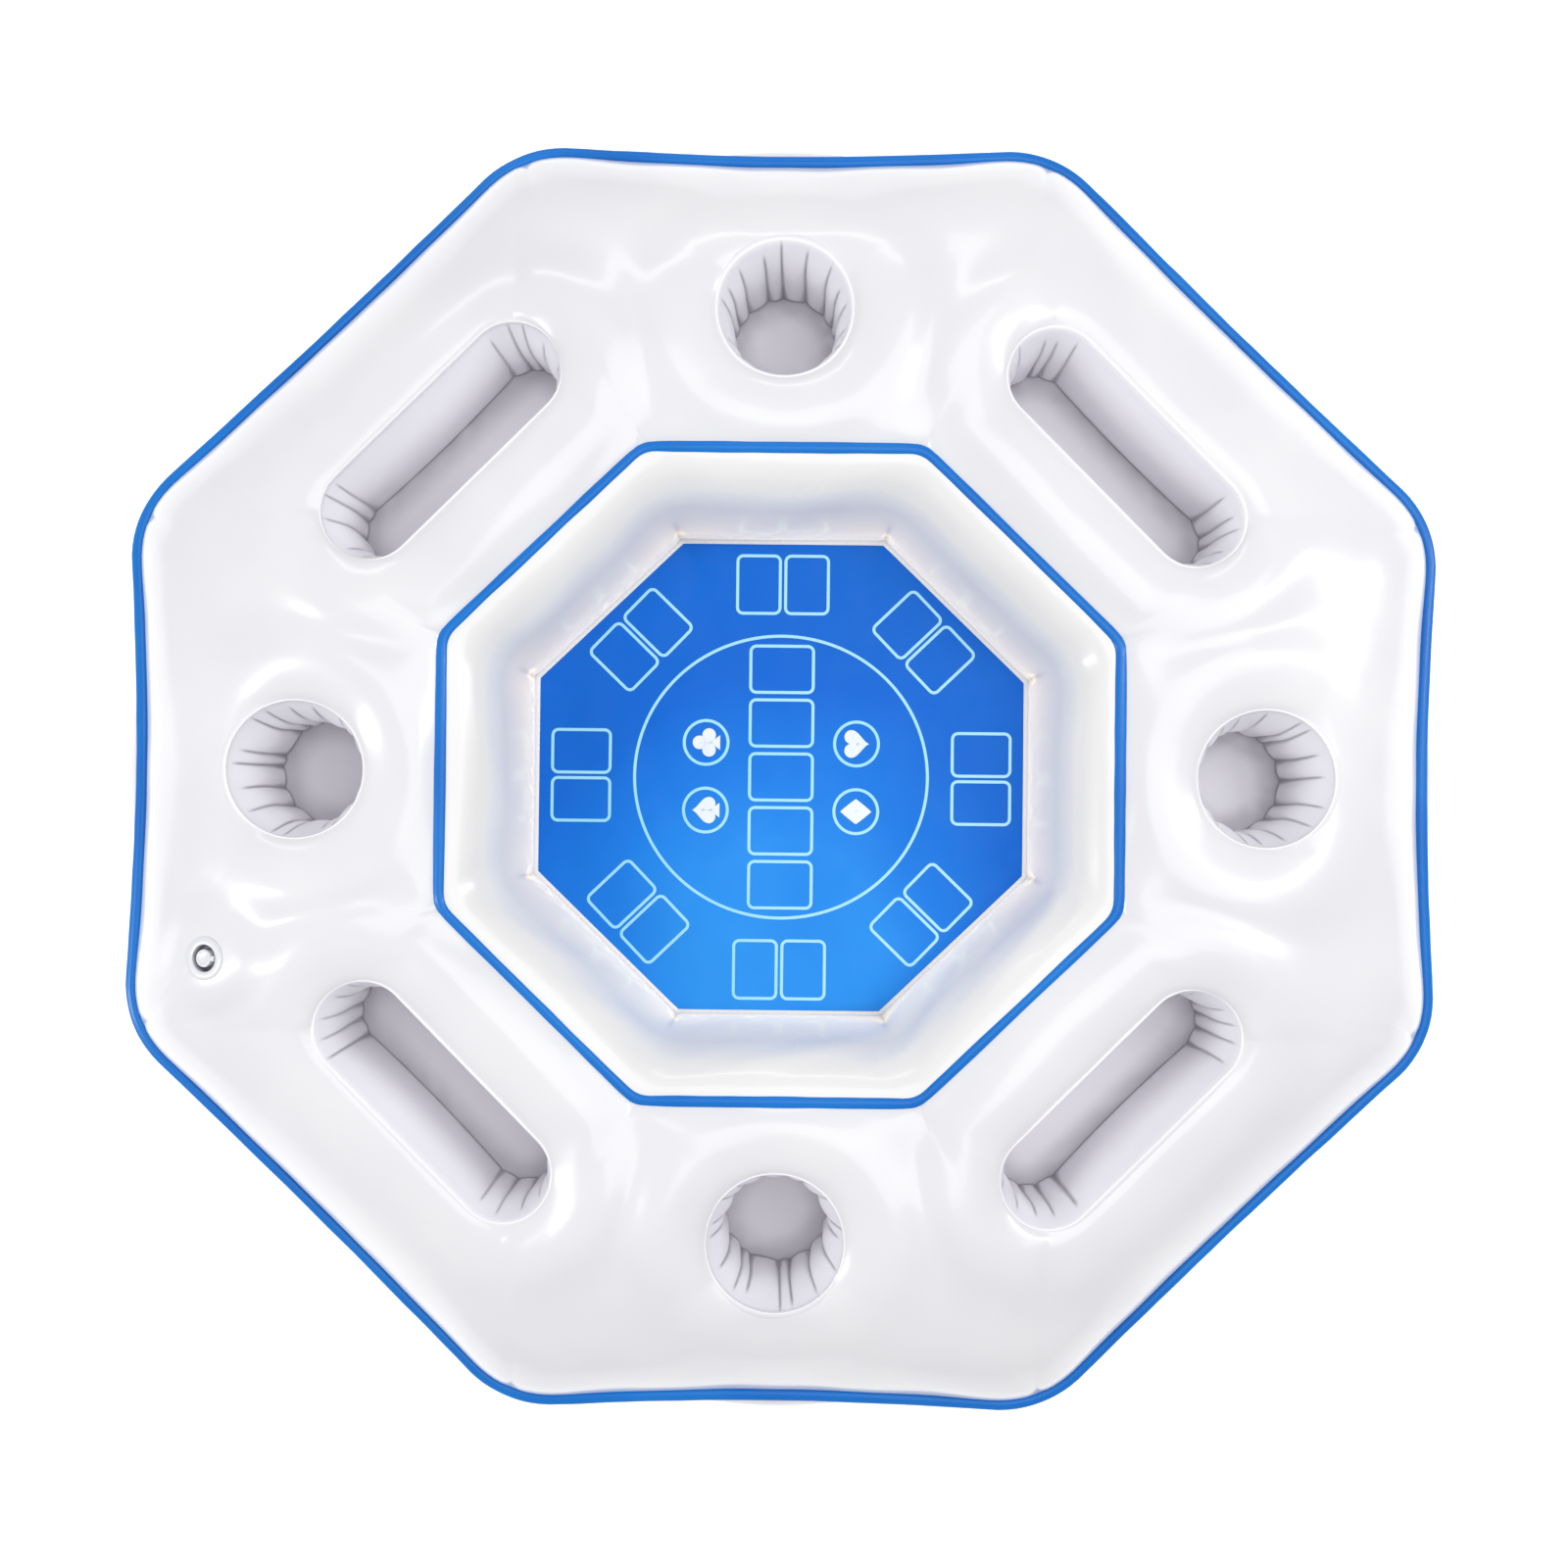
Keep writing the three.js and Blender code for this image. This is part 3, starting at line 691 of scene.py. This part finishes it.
def cut_valve_hole(panel):
    """Opens the film under the valve's flange with a round cutter along the valve's axis."""
    mesh = bmesh.new()
    bmesh.ops.create_cone(
        mesh, cap_ends=True, segments=64, radius1=VALVE_HOLE, radius2=VALVE_HOLE, depth=0.03)
    bmesh.ops.transform(mesh, matrix=valve_matrix(), verts=mesh.verts)
    cutter_mesh = bpy.data.meshes.new("valve_cutter")
    mesh.to_mesh(cutter_mesh)
    mesh.free()
    cutter = bpy.data.objects.new("valve_cutter", cutter_mesh)
    bpy.context.collection.objects.link(cutter)
    hole = panel.modifiers.new("valve_hole", "BOOLEAN")
    hole.operation = "DIFFERENCE"
    hole.solver = "EXACT"
    hole.object = cutter
    apply_modifiers(panel)
    bpy.data.objects.remove(cutter)
    panel.data.set_sharp_from_angle(angle=math.radians(50))


def make_top_panel():
    panel = panel_mesh("ring_top", top_height, PANEL_EDGE, PANEL_RIM, RIM_CORNER, "mouth", True)
    inflate(panel, pressure=0.9, slack=0.004, cap=BLOWN_UP_BY)
    points = coordinates(panel.data)
    plan = points[:, :2]
    clear = rise_from_wells(plan, "mouth", MOUTH_DIMPLE)
    seam = smooth(SEAM_APOTHEM - outer_reach(plan), 0.002, 0.05)
    rim = smooth(rim_reach(plan) - RIM_APOTHEM, 0.002, 0.04)
    unevenness = FILM_WAVE * waves(plan, FILM_WAVE_LENGTH, 3) * clear * seam * rim
    points[:, 2] += unevenness - valleys(plan)
    points = flattened_at_valve(points)
    panel.data.vertices.foreach_set("co", points.ravel())
    soften(panel)
    thicken(panel)
    cut_valve_hole(panel)
    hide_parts("top_panel")


def side_belly(points):
    """How the lower film swells out past the seam where the cups hold the seam in."""
    sector, _, along = facing(points[:, :2])
    middle = np.cos(math.pi / 2 * np.minimum(1, along / SIDE_BELLY_REACH)) ** 1.5
    below = np.clip((SEAM_HEIGHT - points[:, 2]) / (SEAM_HEIGHT - SIDE_BELLY_LOW), 0, 1)
    at_edge = smooth(outer_reach(points[:, :2]), *SIDE_BELLY_START)
    swell = np.sin(math.pi * np.sqrt(below)) * middle * at_edge
    return on_side(SIDE_BELLY * swell * (SIDE_HOLLOWS[sector] > TRAY["side_hollow"]), 0, sector)


def make_bottom_panel():
    panel = panel_mesh(
        "ring_underside", underside_height, PANEL_EDGE, MAT_EDGE - 0.004, 0.003, "floor", False)
    points = coordinates(panel.data)
    points[:, :2] += side_belly(points)
    panel.data.vertices.foreach_set("co", points.ravel())
    soften(panel)
    thicken(panel)
    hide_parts("bottom_panel")


# Seams, the wall round the mat, and the mat ----------------


def ring_outline(side, count):
    """Closed outline of side(along, sector), with points closer together towards the corners."""
    along = -np.cos(math.pi * np.arange(count) / count)
    return np.concatenate([side(along, sector) for sector in range(SECTORS)])


def outward_directions(outline):
    step = np.roll(outline, -1, axis=0) - np.roll(outline, 1, axis=0)
    out = np.stack([step[:, 1], -step[:, 0]], axis=1)
    return out / np.linalg.norm(out, axis=1, keepdims=True)


BEAD_POINTS = 16


def bead(name, outline, height, node):
    """A round welded bead along a closed outline: uneven from welding, and fuller beside the cups."""
    out = outward_directions(outline)
    run = np.cumsum(np.linalg.norm(outline - np.roll(outline, 1, axis=0), axis=1))
    heading = np.arctan2(outline[:, 1], outline[:, 0])
    uneven = 0.94 + 0.05 * waves(run, 0.045, 11) + 0.10 * np.cos(4 * heading)
    rings = []
    for turn in np.arange(BEAD_POINTS) / BEAD_POINTS * math.tau:
        side = outline + out * (BEAD_WIDTH * uneven * math.cos(turn))[:, None]
        lift = height + BEAD_HEIGHT * uneven * math.sin(turn)
        rings.append(np.column_stack([side, lift]))
    vertices = np.stack(rings, axis=0)
    vertices = np.concatenate([vertices, vertices[:1]], axis=0)
    faces = grid_faces(BEAD_POINTS + 1, len(outline))
    piece = add_piece(name, vertices, faces, "blue_vinyl", flipped=True)
    weld(piece)
    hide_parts(node)


def make_seams():
    outer = ring_outline(lambda along, sector: outer_side(SEAM_APOTHEM + BEAD_OUTWARD, along, sector), 44)
    bead("outer_bead", outer, SEAM_HEIGHT, "outer_seam_piping")
    inner = ring_outline(lambda along, sector: rounded_side(RIM_APOTHEM, along, sector, RIM_CORNER), 28)
    bead("inner_bead", inner, RIM_HEIGHT, "inner_seam_piping")


WALL_POINTS = 50
WALL_ROWS = 30
WALL_BULGE = 0.003
WALL_SWAY = 0.0012
WALL_CREASE = 0.0035           # depth and width of the fold in each corner
WALL_CREASE_WIDTH = 0.0032
FOOT_GATHER = 0.0009           # ripple of the film beside its welds
RIM_GATHER = 0.0004


def wall_ring(share):
    """One level of the wall, from the mat at share 0 to the piping at share 1, with each point's painted fold
    shade.
    """
    turn = math.pi / 2 * share
    along = np.linspace(-1, 1, WALL_POINTS, endpoint=False)
    apothem = MAT_EDGE + (RIM_APOTHEM - 0.002 - MAT_EDGE) * (1 - math.cos(turn) ** WALL_SQUARENESS)
    height = WALL_FOOT + (RIM_HEIGHT - WALL_FOOT) * math.sin(turn)
    middle = math.sin(math.pi * share)
    radius = 0.002 + 0.040 * middle + (RIM_CORNER - 0.002) * share
    corner_gap = (1 - np.abs(along)) * apothem * LEAN
    crease_reach = smooth(share, 0, 0.06) * (1 - smooth(share, 0.1, 0.42))
    crease = WALL_CREASE * np.exp(-(corner_gap / WALL_CREASE_WIDTH) ** 2) * crease_reach
    low_gather = FOOT_GATHER * math.sin(math.pi * min(1, share / 0.25))
    high_gather = RIM_GATHER * math.sin(math.pi * max(0, (share - 0.85) / 0.15))
    ring = []
    for sector in range(SECTORS):
        run = (sector + along / 2) * 2 * LEAN * apothem
        gather = low_gather * waves(run, 0.015, 21) + high_gather * waves(run, 0.02, 22)
        sway = WALL_SWAY * waves(run, 0.10, 23) * middle
        push = WALL_BULGE * np.cos(math.pi / 2 * along) * middle - crease + gather + sway
        plan = rounded_side(apothem, along, sector, radius) - on_side(1, 0, sector) * push[:, None]
        # Painted shade: dark in the corner creases near the foot, and along the foot where the wall meets the
        # mat.
        fold = np.maximum(0.8 * np.exp(-(corner_gap / 0.0018) ** 2) * crease_reach, 0.5 * (share < 0.01))
        ring.append(np.column_stack([plan, np.full(len(plan), height), fold]))
    return np.concatenate(ring)


def make_wall():
    rings = np.stack([wall_ring(share) for share in np.linspace(0, 1, WALL_ROWS)])
    wall = add_piece("mat_wall", rings[..., :3], grid_faces(WALL_ROWS, rings.shape[1]), "wall_vinyl")
    paint_fold_shade(wall, rings[..., 3])
    soften(wall)
    thicken(wall)
    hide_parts("well_wall")


def mat_lift(plan):
    """Slight waviness of the mat, and the gathers at its welded corners."""
    _, out, along = facing(plan)
    edge = smooth(MAT_EDGE - out, 0.0, 0.05)
    wavy = 0.0005 * waves(plan, 0.09, 31) * edge + 0.00018 * waves(plan, 0.035, 32)
    corner_gap = out * LEAN - along
    gathers = 0.0008 * np.exp(-(corner_gap / 0.005) ** 2) * smooth(out, 0.15, 0.19)
    return wavy - gathers


def octagon(apothem, points_per_side):
    along = np.linspace(-1, 1, points_per_side, endpoint=False)
    return np.concatenate([rounded_side(apothem, along, sector, 0) for sector in range(SECTORS)])


def mat_points(share):
    plan = octagon(MAT_EDGE * share, 30)
    return np.column_stack([plan, MAT_HEIGHT + mat_lift(plan)])


def make_mat():
    shares = np.linspace(0.02, 1, 46)
    rings = np.stack([mat_points(share) for share in shares])
    rows, columns, _ = rings.shape
    centre = [[0, 0, MAT_HEIGHT + float(mat_lift(np.zeros((1, 2)))[0])]]
    vertices = np.concatenate([rings.reshape(-1, 3), centre])
    faces = grid_faces(rows, columns)
    faces += [((i + 1) % columns, i, len(vertices) - 1) for i in range(columns)]
    mat = add_piece("printed_mat", vertices, faces, "mat_vinyl", flipped=True)
    thicken(mat)
    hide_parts("playing_mat")
    pieces = make_prints()
    pieces.append(make_weld_strip())


def make_weld_strip():
    """The pale pressed margin that welds the mat to the wall, with its fine cross ridges."""
    inner = [(MAT_PRINT, 0.0001), (MAT_PRINT + 0.001, 0.0005)]
    outer = [(MAT_EDGE - 0.001, 0.0005), (MAT_EDGE + 0.0005, 0.0001)]
    rings = []
    for apothem, lift in inner + outer:
        plan = octagon(apothem, 120)
        ridges = 0.00012 * np.sin(np.arange(len(plan)) * math.pi / 2) if lift > 0.0002 else 0
        rings.append(np.column_stack([plan, MAT_HEIGHT + mat_lift(plan) + lift + ridges]))
    rings = np.stack(rings)
    faces = grid_faces(*rings.shape[:2])
    return add_piece("mat_weld_margin", rings, faces, "white_vinyl", flipped=True)


# What is printed on the mat --------------------------------

PRINT_LIFT = 0.00015
LINE = 0.0024                  # width of the printed lines
CARD = (0.046, 0.034)          # seat cards, along and across the radius
TABLE_CARD = (0.037, 0.050)    # the five cards down the middle
TABLE_CARD_PITCH = 0.0430
CIRCLE_RADIUS = 0.1168
SEAT_APOTHEM = 0.1595
SEAT_GAP = 0.0044
ROUNDEL_PLACE = (0.0600, 0.0270)
ROUNDEL_RADIUS = 0.0175
SUIT_SIZE = 0.0118


def closed_path(points, longest=0.004):
    """Adds points along the straight runs of a closed path, so that a print follows the mat."""
    path = []
    for a, b in zip(points, np.roll(points, -1, axis=0)):
        steps = max(1, int(np.linalg.norm(b - a) / longest))
        path += [a + (b - a) * i / steps for i in range(steps)]
    return np.array(path)


def rounded_card(width, height, radius=0.0045):
    corners = []
    for x, y, start in ((1, 1, 0), (-1, 1, 1), (-1, -1, 2), (1, -1, 3)):
        for turn in (start + np.linspace(0, 1, 6)) * math.pi / 2:
            corners.append((x * (width / 2 - radius) + radius * math.cos(turn),
                            y * (height / 2 - radius) + radius * math.sin(turn)))
    return closed_path(np.array(corners))


def circle_path(radius, count):
    turn = np.arange(count) / count * math.tau
    return radius * np.stack([np.cos(turn), np.sin(turn)], axis=1)


def printed(name, rings, faces, look):
    vertices = np.concatenate(rings)
    lifted = np.column_stack([vertices, MAT_HEIGHT + mat_lift(vertices) + PRINT_LIFT])
    return add_piece(name, lifted, faces, look)


def printed_lines(name, paths):
    rings, faces, start = [], [], 0
    for path in paths:
        out = outward_directions(path)
        count = len(path)
        rings += [path + out * LINE / 2, path - out * LINE / 2]
        faces += [tuple(i + start for i in face) for face in grid_faces(2, count)]
        start += 2 * count
    return printed(name, rings, [face[::-1] for face in faces], "print_pale")


def printed_shapes(name, shapes):
    """Solid printed shapes, each given as (middle, outline) and filled in rings from its middle."""
    rings, faces, start = [], [], 0
    for middle, outline in shapes:
        middle = np.asarray(middle)
        count = len(outline)
        levels = [middle + (outline - middle) * share for share in (0.02, 0.35, 0.7, 1)]
        rings += levels
        faces += [tuple(i + start for i in face) for face in grid_faces(len(levels), count)]
        faces.append(tuple(start + i for i in range(count)))
        start += len(levels) * count
    return printed(name, rings, [face[::-1] for face in faces], "print_white")


def heart_outline(size):
    turn = np.arange(72) / 72 * math.tau
    x = 16 * np.sin(turn) ** 3
    y = 13 * np.cos(turn) - 5 * np.cos(2 * turn) - 2 * np.cos(3 * turn) - np.cos(4 * turn)
    return np.stack([x, y + 2], axis=1)[::-1] * size / 17


def diamond_outline(size):
    turn = np.arange(64) / 64 * math.tau
    return size * np.stack([np.sign(np.cos(turn)) * np.abs(np.cos(turn)) ** 1.9 * 0.85,
                            np.sign(np.sin(turn)) * np.abs(np.sin(turn)) ** 1.9 * 1.05], axis=1)


def stem_outline(size):
    left = [(-0.12, 0.2), (-0.16, -0.5), (-0.5, -0.95)]
    right = [(-x, y) for x, y in reversed(left)]
    return closed_path(np.array(left + right) * size, longest=0.001)


def suit_shapes(suit):
    """A suit symbol as filled shapes, upright, about a middle at the origin."""
    size = SUIT_SIZE
    if suit == "heart":
        return [((0, 0.0), heart_outline(size))]
    if suit == "diamond":
        return [((0, 0), diamond_outline(size))]
    if suit == "spade":
        leaf = heart_outline(size * 0.95) * (1, -1) + (0, 0.1 * size)
        return [((0, 0.1 * size), leaf[::-1]), ((0, -0.3 * size), stem_outline(size))]
    lobes = [(0, 0.45), (-0.5, -0.2), (0.5, -0.2)]
    middles = [np.array(lobe) * size for lobe in lobes]
    shapes = [(middle, circle_path(0.46 * size, 40) + middle) for middle in middles]
    return shapes + [((0, -0.3 * size), stem_outline(size))]


def turned_to_west(path):
    """The print reads upright towards -X."""
    path = np.asarray(path)
    return np.stack([-path[..., 1], path[..., 0]], axis=-1)


def seat_cards():
    paths = []
    for sector in range(SECTORS):
        middle = on_side(SEAT_APOTHEM, 0, sector)
        out = middle / np.linalg.norm(middle)
        across = np.array([-out[1], out[0]])
        for side in (-1, 1):
            card = rounded_card(*CARD)
            offset = side * (CARD[1] + SEAT_GAP) / 2
            paths.append(middle + card[:, :1] * out + (card[:, 1:] + offset) * across)
    return paths


def make_prints():
    circle = circle_path(CIRCLE_RADIUS, 220) * (1, DEPTH_RATIO)
    row = [rounded_card(TABLE_CARD[1], TABLE_CARD[0]) + (0, TABLE_CARD_PITCH * i) for i in range(-2, 3)]
    x, y = ROUNDEL_PLACE
    places = {"club": (-x, y), "heart": (x, y), "spade": (-x, -y), "diamond": (x, -y)}
    roundels = [circle_path(ROUNDEL_RADIUS, 60) + place for place in places.values()]
    shapes = []
    for suit, place in places.items():
        for middle, outline in suit_shapes(suit):
            shapes.append((turned_to_west(middle) + place, turned_to_west(outline) + place))
    return [
        printed_lines("print_circle", [circle]),
        printed_lines("print_table_cards", row),
        printed_lines("print_seat_cards", seat_cards()),
        printed_lines("print_roundels", roundels),
        printed_shapes("print_suits", shapes),
    ]


# Wells: pleated sleeves and their floors -------------------

LIP = 0.0042                   # flat welded margin outside each mouth
LIP_PROFILE = (                # distance outside the mouth, and height over the rim
    (LIP, -0.0012),
    (LIP - 0.0004, 0.0006),
    (0.0016, 0.0007),
    (0.0009, 0.0016),
    (0.0001, 0.0013),
)
FLOOR_ROWS = 14
SLEEVE_POINTS = 384
SLEEVE_ROWS = 30
CREASES_PER_TURN = 17
PLEAT_DEPTH = 0.0062
PLEAT_DEPTH_AT_SIDES = 0.0060


def well_outline(well, count):
    """Points of the well's core with the direction out from it, all the way round."""
    half = well["half_core"]
    end_share = 1.0 if half == 0 else 0.5
    heading = math.atan2(well["core"][1], well["core"][0])
    cores, outs, at_end = [], [], []
    for end in (1, -1):
        middle = well["centre"] + end * half * well["core"]
        steps = int(count * end_share / 2)
        start = heading - end * math.pi / 2
        for turn in start + math.pi * np.arange(steps) / steps:
            cores.append(middle)
            outs.append((math.cos(turn), math.sin(turn)))
            at_end.append(True)
        run = int(count / 2) - steps
        across = (math.cos(start + math.pi), math.sin(start + math.pi))
        for i in range(run):
            cores.append(middle - 2 * end * half * well["core"] * i / run)
            outs.append(across)
            at_end.append(False)
    return np.array(cores), np.array(outs), np.array(at_end)


def crease_places(well, count, at_end, random):
    """Where the pleats of a sleeve meet, as places in its outline: only at a tray's round ends."""
    if well["half_core"] == 0:
        regular = np.arange(CREASES_PER_TURN) / CREASES_PER_TURN
        uneven = random.uniform(-0.3, 0.3, CREASES_PER_TURN) / CREASES_PER_TURN
        return np.sort((regular + uneven) % 1) * count
    places = []
    for first in (0, count // 2):
        span = int(at_end.sum() / 2)
        inner = np.linspace(0.02, 0.98, 7) + random.uniform(-0.05, 0.05, 7)
        places += list(first + inner * span)
    return np.sort(places)


def pleats(place, creases, count):
    """0 in each crease, rising to 1 between two, with the pleat's width and its nearest crease."""
    place = place % count
    after = np.searchsorted(creases, place) % len(creases)
    behind = (after - 1) % len(creases)
    width = (creases[after] - creases[behind]) % count
    share = ((place - creases[behind]) % count) / width
    nearest = np.where(share > 0.5, after, behind)
    return np.sin(math.pi * np.clip(share, 0, 1)), width, np.minimum(share, 1 - share) * width, nearest


def sleeve_lip(well, cores, outs):
    """The welded margin round a mouth, as rings from its hidden outer edge to the mouth."""
    heights = [np.full(len(cores), RIM_HEIGHT + lift) for _, lift in LIP_PROFILE]
    plans = [cores + outs * (well["mouth"] + extra) for extra, _ in LIP_PROFILE]
    return [np.column_stack([plan, height]) for plan, height in zip(plans, heights)]


def sleeve_rings(well):
    """A pleated sleeve from its lip to its foot: rings of points, their painted fold shade and the core
    points.
    """
    count = SLEEVE_POINTS
    random = np.random.default_rng(40 + well["sector"])
    cores, outs, at_end = well_outline(well, count)
    creases = crease_places(well, count, at_end, random)
    starts = random.uniform(-0.04, 0.14, len(creases))
    strengths = random.uniform(0.75, 1.0, len(creases))
    spacing = (math.tau * well["mouth"] + 4 * well["half_core"]) / count
    place = np.arange(count, dtype=float)
    drift = random.uniform(-1, 1, 2)
    sideways = waves(place * spacing, 0.05, 60 + well["sector"])
    rings, fold_shades = [], []
    span = RIM_HEIGHT - MAT_HEIGHT + 0.0012
    for share in np.linspace(0, 1, SLEEVE_ROWS) ** 0.85:
        sway = 1.5 * math.sin(2.6 * share + drift[0]) + 1.2 * sideways
        fold, width, near, nearest = pleats(place + sway * share, creases, count)
        wide = np.minimum(1, width * CREASES_PER_TURN / count) ** 0.7
        depth = np.where(width > count / 8, PLEAT_DEPTH_AT_SIDES, PLEAT_DEPTH) * wide
        grow = smooth(share, 0.05, 0.5) * (1 - 0.6 * smooth(share, 0.88, 1))
        belly = 0.0035 * math.sin(math.pi * share) + 0.0012 * math.sin(math.tau * share + drift[1])
        base = well["mouth"] + (well["floor"] - well["mouth"]) * share
        radius = base - belly - depth * fold ** (0.22 + 0.38 * share) * grow + 0.0018 * grow
        height = np.full(count, RIM_HEIGHT + 0.0004 - span * share)
        rings.append(np.column_stack([cores + outs * radius[:, None], height]))
        # Painted shade: dark lines along the creases, a darkening towards the floor and a dark band at the
        # foot.
        reach = 0.0008 + 0.0012 * share + 0.0030 * smooth(share, 0.6, 1) ** 2
        crease_shade = 0.95 * np.exp(-(near * spacing / reach) ** 2) * strengths[nearest]
        shade = 0.13 * smooth(share, 0.25, 1) + smooth(share, 0.955, 1)
        fold_shades.append(np.maximum(crease_shade * smooth(share - starts[nearest], 0, 0.12), shade))
    lip = sleeve_lip(well, cores, outs)
    no_fold_shades = [np.zeros(count)] * len(lip)
    return np.stack(lip + rings), np.stack(no_fold_shades + fold_shades), cores


def make_well(well):
    rings, fold_shades, cores = sleeve_rings(well)
    rows, count, _ = rings.shape
    edge = rings[-1, :, :2]
    kind, name = well["kind"], well["name"]
    sleeve = add_piece(f"{kind}_lining_{name}", rings, grid_faces(rows, count), "well_vinyl")
    paint_fold_shade(sleeve, fold_shades)
    thicken(sleeve, 0.0009)
    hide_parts(f"{kind}_sleeve_{name}")
    levels = []
    for share in np.linspace(0, 1, FLOOR_ROWS) ** 0.8:
        plan = cores + (edge - cores) * (0.02 + share)
        ripple = 0.0006 * waves(plan, 0.02, 70 + well["sector"]) * smooth(share, 0.3, 1)
        levels.append(np.column_stack([plan, MAT_HEIGHT - 0.0004 + ripple]))
    levels = np.stack(levels)
    faces = grid_faces(len(levels), count)
    floor = add_piece(f"{kind}_base_{name}", levels, faces, "well_vinyl", flipped=True)
    weld(floor, 2e-5)
    fill_middle(floor)
    # Painted shade on the floor: a faint darkening all over, darkest next to the sleeve's foot.
    inside = well["floor"] - off_core(well, coordinates(floor.data)[:, :2])
    paint_fold_shade(floor, 0.04 + 0.32 * (1 - smooth(inside, 0.002, 0.024)))
    thicken(floor, 0.001)
    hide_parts(f"{kind}_floor_{name}")


def fill_middle(piece):
    """Closes the small hole or slit left in the middle of a floor."""
    mesh = bmesh.new()
    mesh.from_mesh(piece.data)
    border = [edge for edge in mesh.edges if edge.is_boundary]
    loops = bmesh.ops.holes_fill(mesh, edges=border, sides=0)
    largest = max(loops["faces"], key=lambda face: face.calc_area())
    bmesh.ops.delete(mesh, geom=[largest], context="FACES_ONLY")
    mesh.normal_update()
    mesh.to_mesh(piece.data)
    mesh.free()
    piece.data.polygons.foreach_set("use_smooth", [True] * len(piece.data.polygons))


# The valve -------------------------------------------------

TURN_STEPS = 72
SEAT_PROFILE = [
    (16, -1.5), (16, 0.2), (15.2, 0.6), (10.8, 0.75), (10, 0.5),
    (10, -6), (6.4, -6), (6.4, -7.2), (11.5, -7.2), (11.5, -1.5),
]
TUBE_PROFILE = [
    (6, -24), (6, -22), (7.6, -22), (7.6, -20.6), (6, -20.6), (6, -1.5), (4.2, -1.5), (4.2, -24),
]
CAP_PROFILE = [
    (0.01, -4), (3.2, -4), (3.9, -1.2), (6.5, -1.2), (6.5, 0.7),
    (5.9, 1.3), (4.6, 1.3), (4.2, 0.9), (0.01, 0.9),
]
FLAP_PROFILE = [(0.01, -25.1), (5.6, -25.1), (5.6, -24.3), (0.01, -24.3)]
LUG_PATH = [(5.0, -2.6), (7.0, -2.6), (8.9, -2.6)]
STRAP_PATH = [(5.9, 0.75), (7.4, 0.85), (8.5, 0.75), (9.1, 0.35)]
STRAP_HALF_WIDTH = 2.0
STRAP_SECTION = [
    (1, 0.5), (0.85, 1), (-0.85, 1), (-1, 0.5), (-1, -0.5), (-0.85, -1), (0.85, -1), (1, -0.5),
]


def turned(name, profile, body, node, closed=False):
    """A turned piece about the valve's axis, from (radius, height) points in millimetres."""
    vertices = []
    for radius, height in profile:
        for turn in np.arange(TURN_STEPS) / TURN_STEPS * math.tau:
            point = Vector((radius * math.cos(turn), radius * math.sin(turn), height)) / 1000
            vertices.append(valve_matrix() @ point)
    faces = grid_faces(len(profile), TURN_STEPS)
    if closed:
        last = (len(profile) - 1) * TURN_STEPS
        faces += [(last + i, last + (i + 1) % TURN_STEPS, (i + 1) % TURN_STEPS, i) for i in range(TURN_STEPS)]
    piece = add_piece(name, vertices, faces, "valve_vinyl", body)
    weld(piece, 1e-6)
    if node == "valve_flange":
        # Painted shade in the flange's recess round the tube.
        depth = (coordinates(piece.data) - VALVE_PLACE) @ -valve_axes()[1]
        paint_fold_shade(piece, smooth(depth, -0.0004, 0.0012))
    edge = piece.modifiers.new("edges", "BEVEL")
    edge.width = 0.00022
    edge.segments = 2
    edge.limit_method = "ANGLE"
    edge.angle_limit = math.radians(35)
    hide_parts(node)


def make_strap(name, path, half_thickness, body, node):
    """A flat strap along a path of (distance out, height) points, in millimetres."""
    vertices = []
    for out, height in path:
        for across, up in STRAP_SECTION:
            point = Vector((out, across * STRAP_HALF_WIDTH, height + up * half_thickness)) / 1000
            vertices.append(valve_matrix() @ point)
    count = len(STRAP_SECTION)
    faces = grid_faces(len(path), count)
    faces += [tuple(range(count))[::-1], tuple(range(len(vertices) - count, len(vertices)))]
    strap = add_piece(name, vertices, faces, "valve_vinyl", body)
    if node:
        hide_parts(node)


def make_valve():
    turned("valve_seat", SEAT_PROFILE, "root", "valve_flange", closed=True)
    turned("valve_tube", TUBE_PROFILE, "valve_stem_body", "valve_stem", closed=True)
    turned("valve_cap", CAP_PROFILE, "valve_plug_body", "valve_plug")
    turned("valve_flap_disc", FLAP_PROFILE, "valve_flap_body", "valve_check_flap")
    make_strap("valve_lug", LUG_PATH, 1.0, "valve_stem_body", None)
    make_strap("valve_strap", STRAP_PATH, 0.5, "valve_plug_body", "valve_tether")


# Assembly --------------------------------------------------

make_camera()
make_studio()

LOOKS = {
    "white_vinyl": soft_vinyl("white_vinyl", (0.80, 0.80, 0.825), (0.84, 0.84, 0.86), 0.24),
    "wall_vinyl": wall_vinyl(),
    "well_vinyl": well_vinyl(),
    "blue_vinyl": soft_vinyl(
        "blue_vinyl", (0.003, 0.155, 0.58), (0.006, 0.19, 0.64), 0.3, coat=0.08, dents=0.0002, shine=0.25),
    "valve_vinyl": soft_vinyl("valve_vinyl", (0.72, 0.73, 0.76), (0.79, 0.79, 0.82), 0.35, dents=0.0001),
    "mat_vinyl": mat_vinyl(),
    "print_pale": soft_vinyl("print_pale", (0.29, 0.71, 0.95), (0.37, 0.76, 1.0), 0.35, dents=0.0002),
    "print_white": soft_vinyl("print_white", (0.74, 0.82, 0.93), (0.82, 0.88, 0.97), 0.35, dents=0.0002),
}

make_top_panel()
make_bottom_panel()
make_seams()
make_wall()
make_mat()
for each_well in WELLS:
    make_well(each_well)
make_valve()
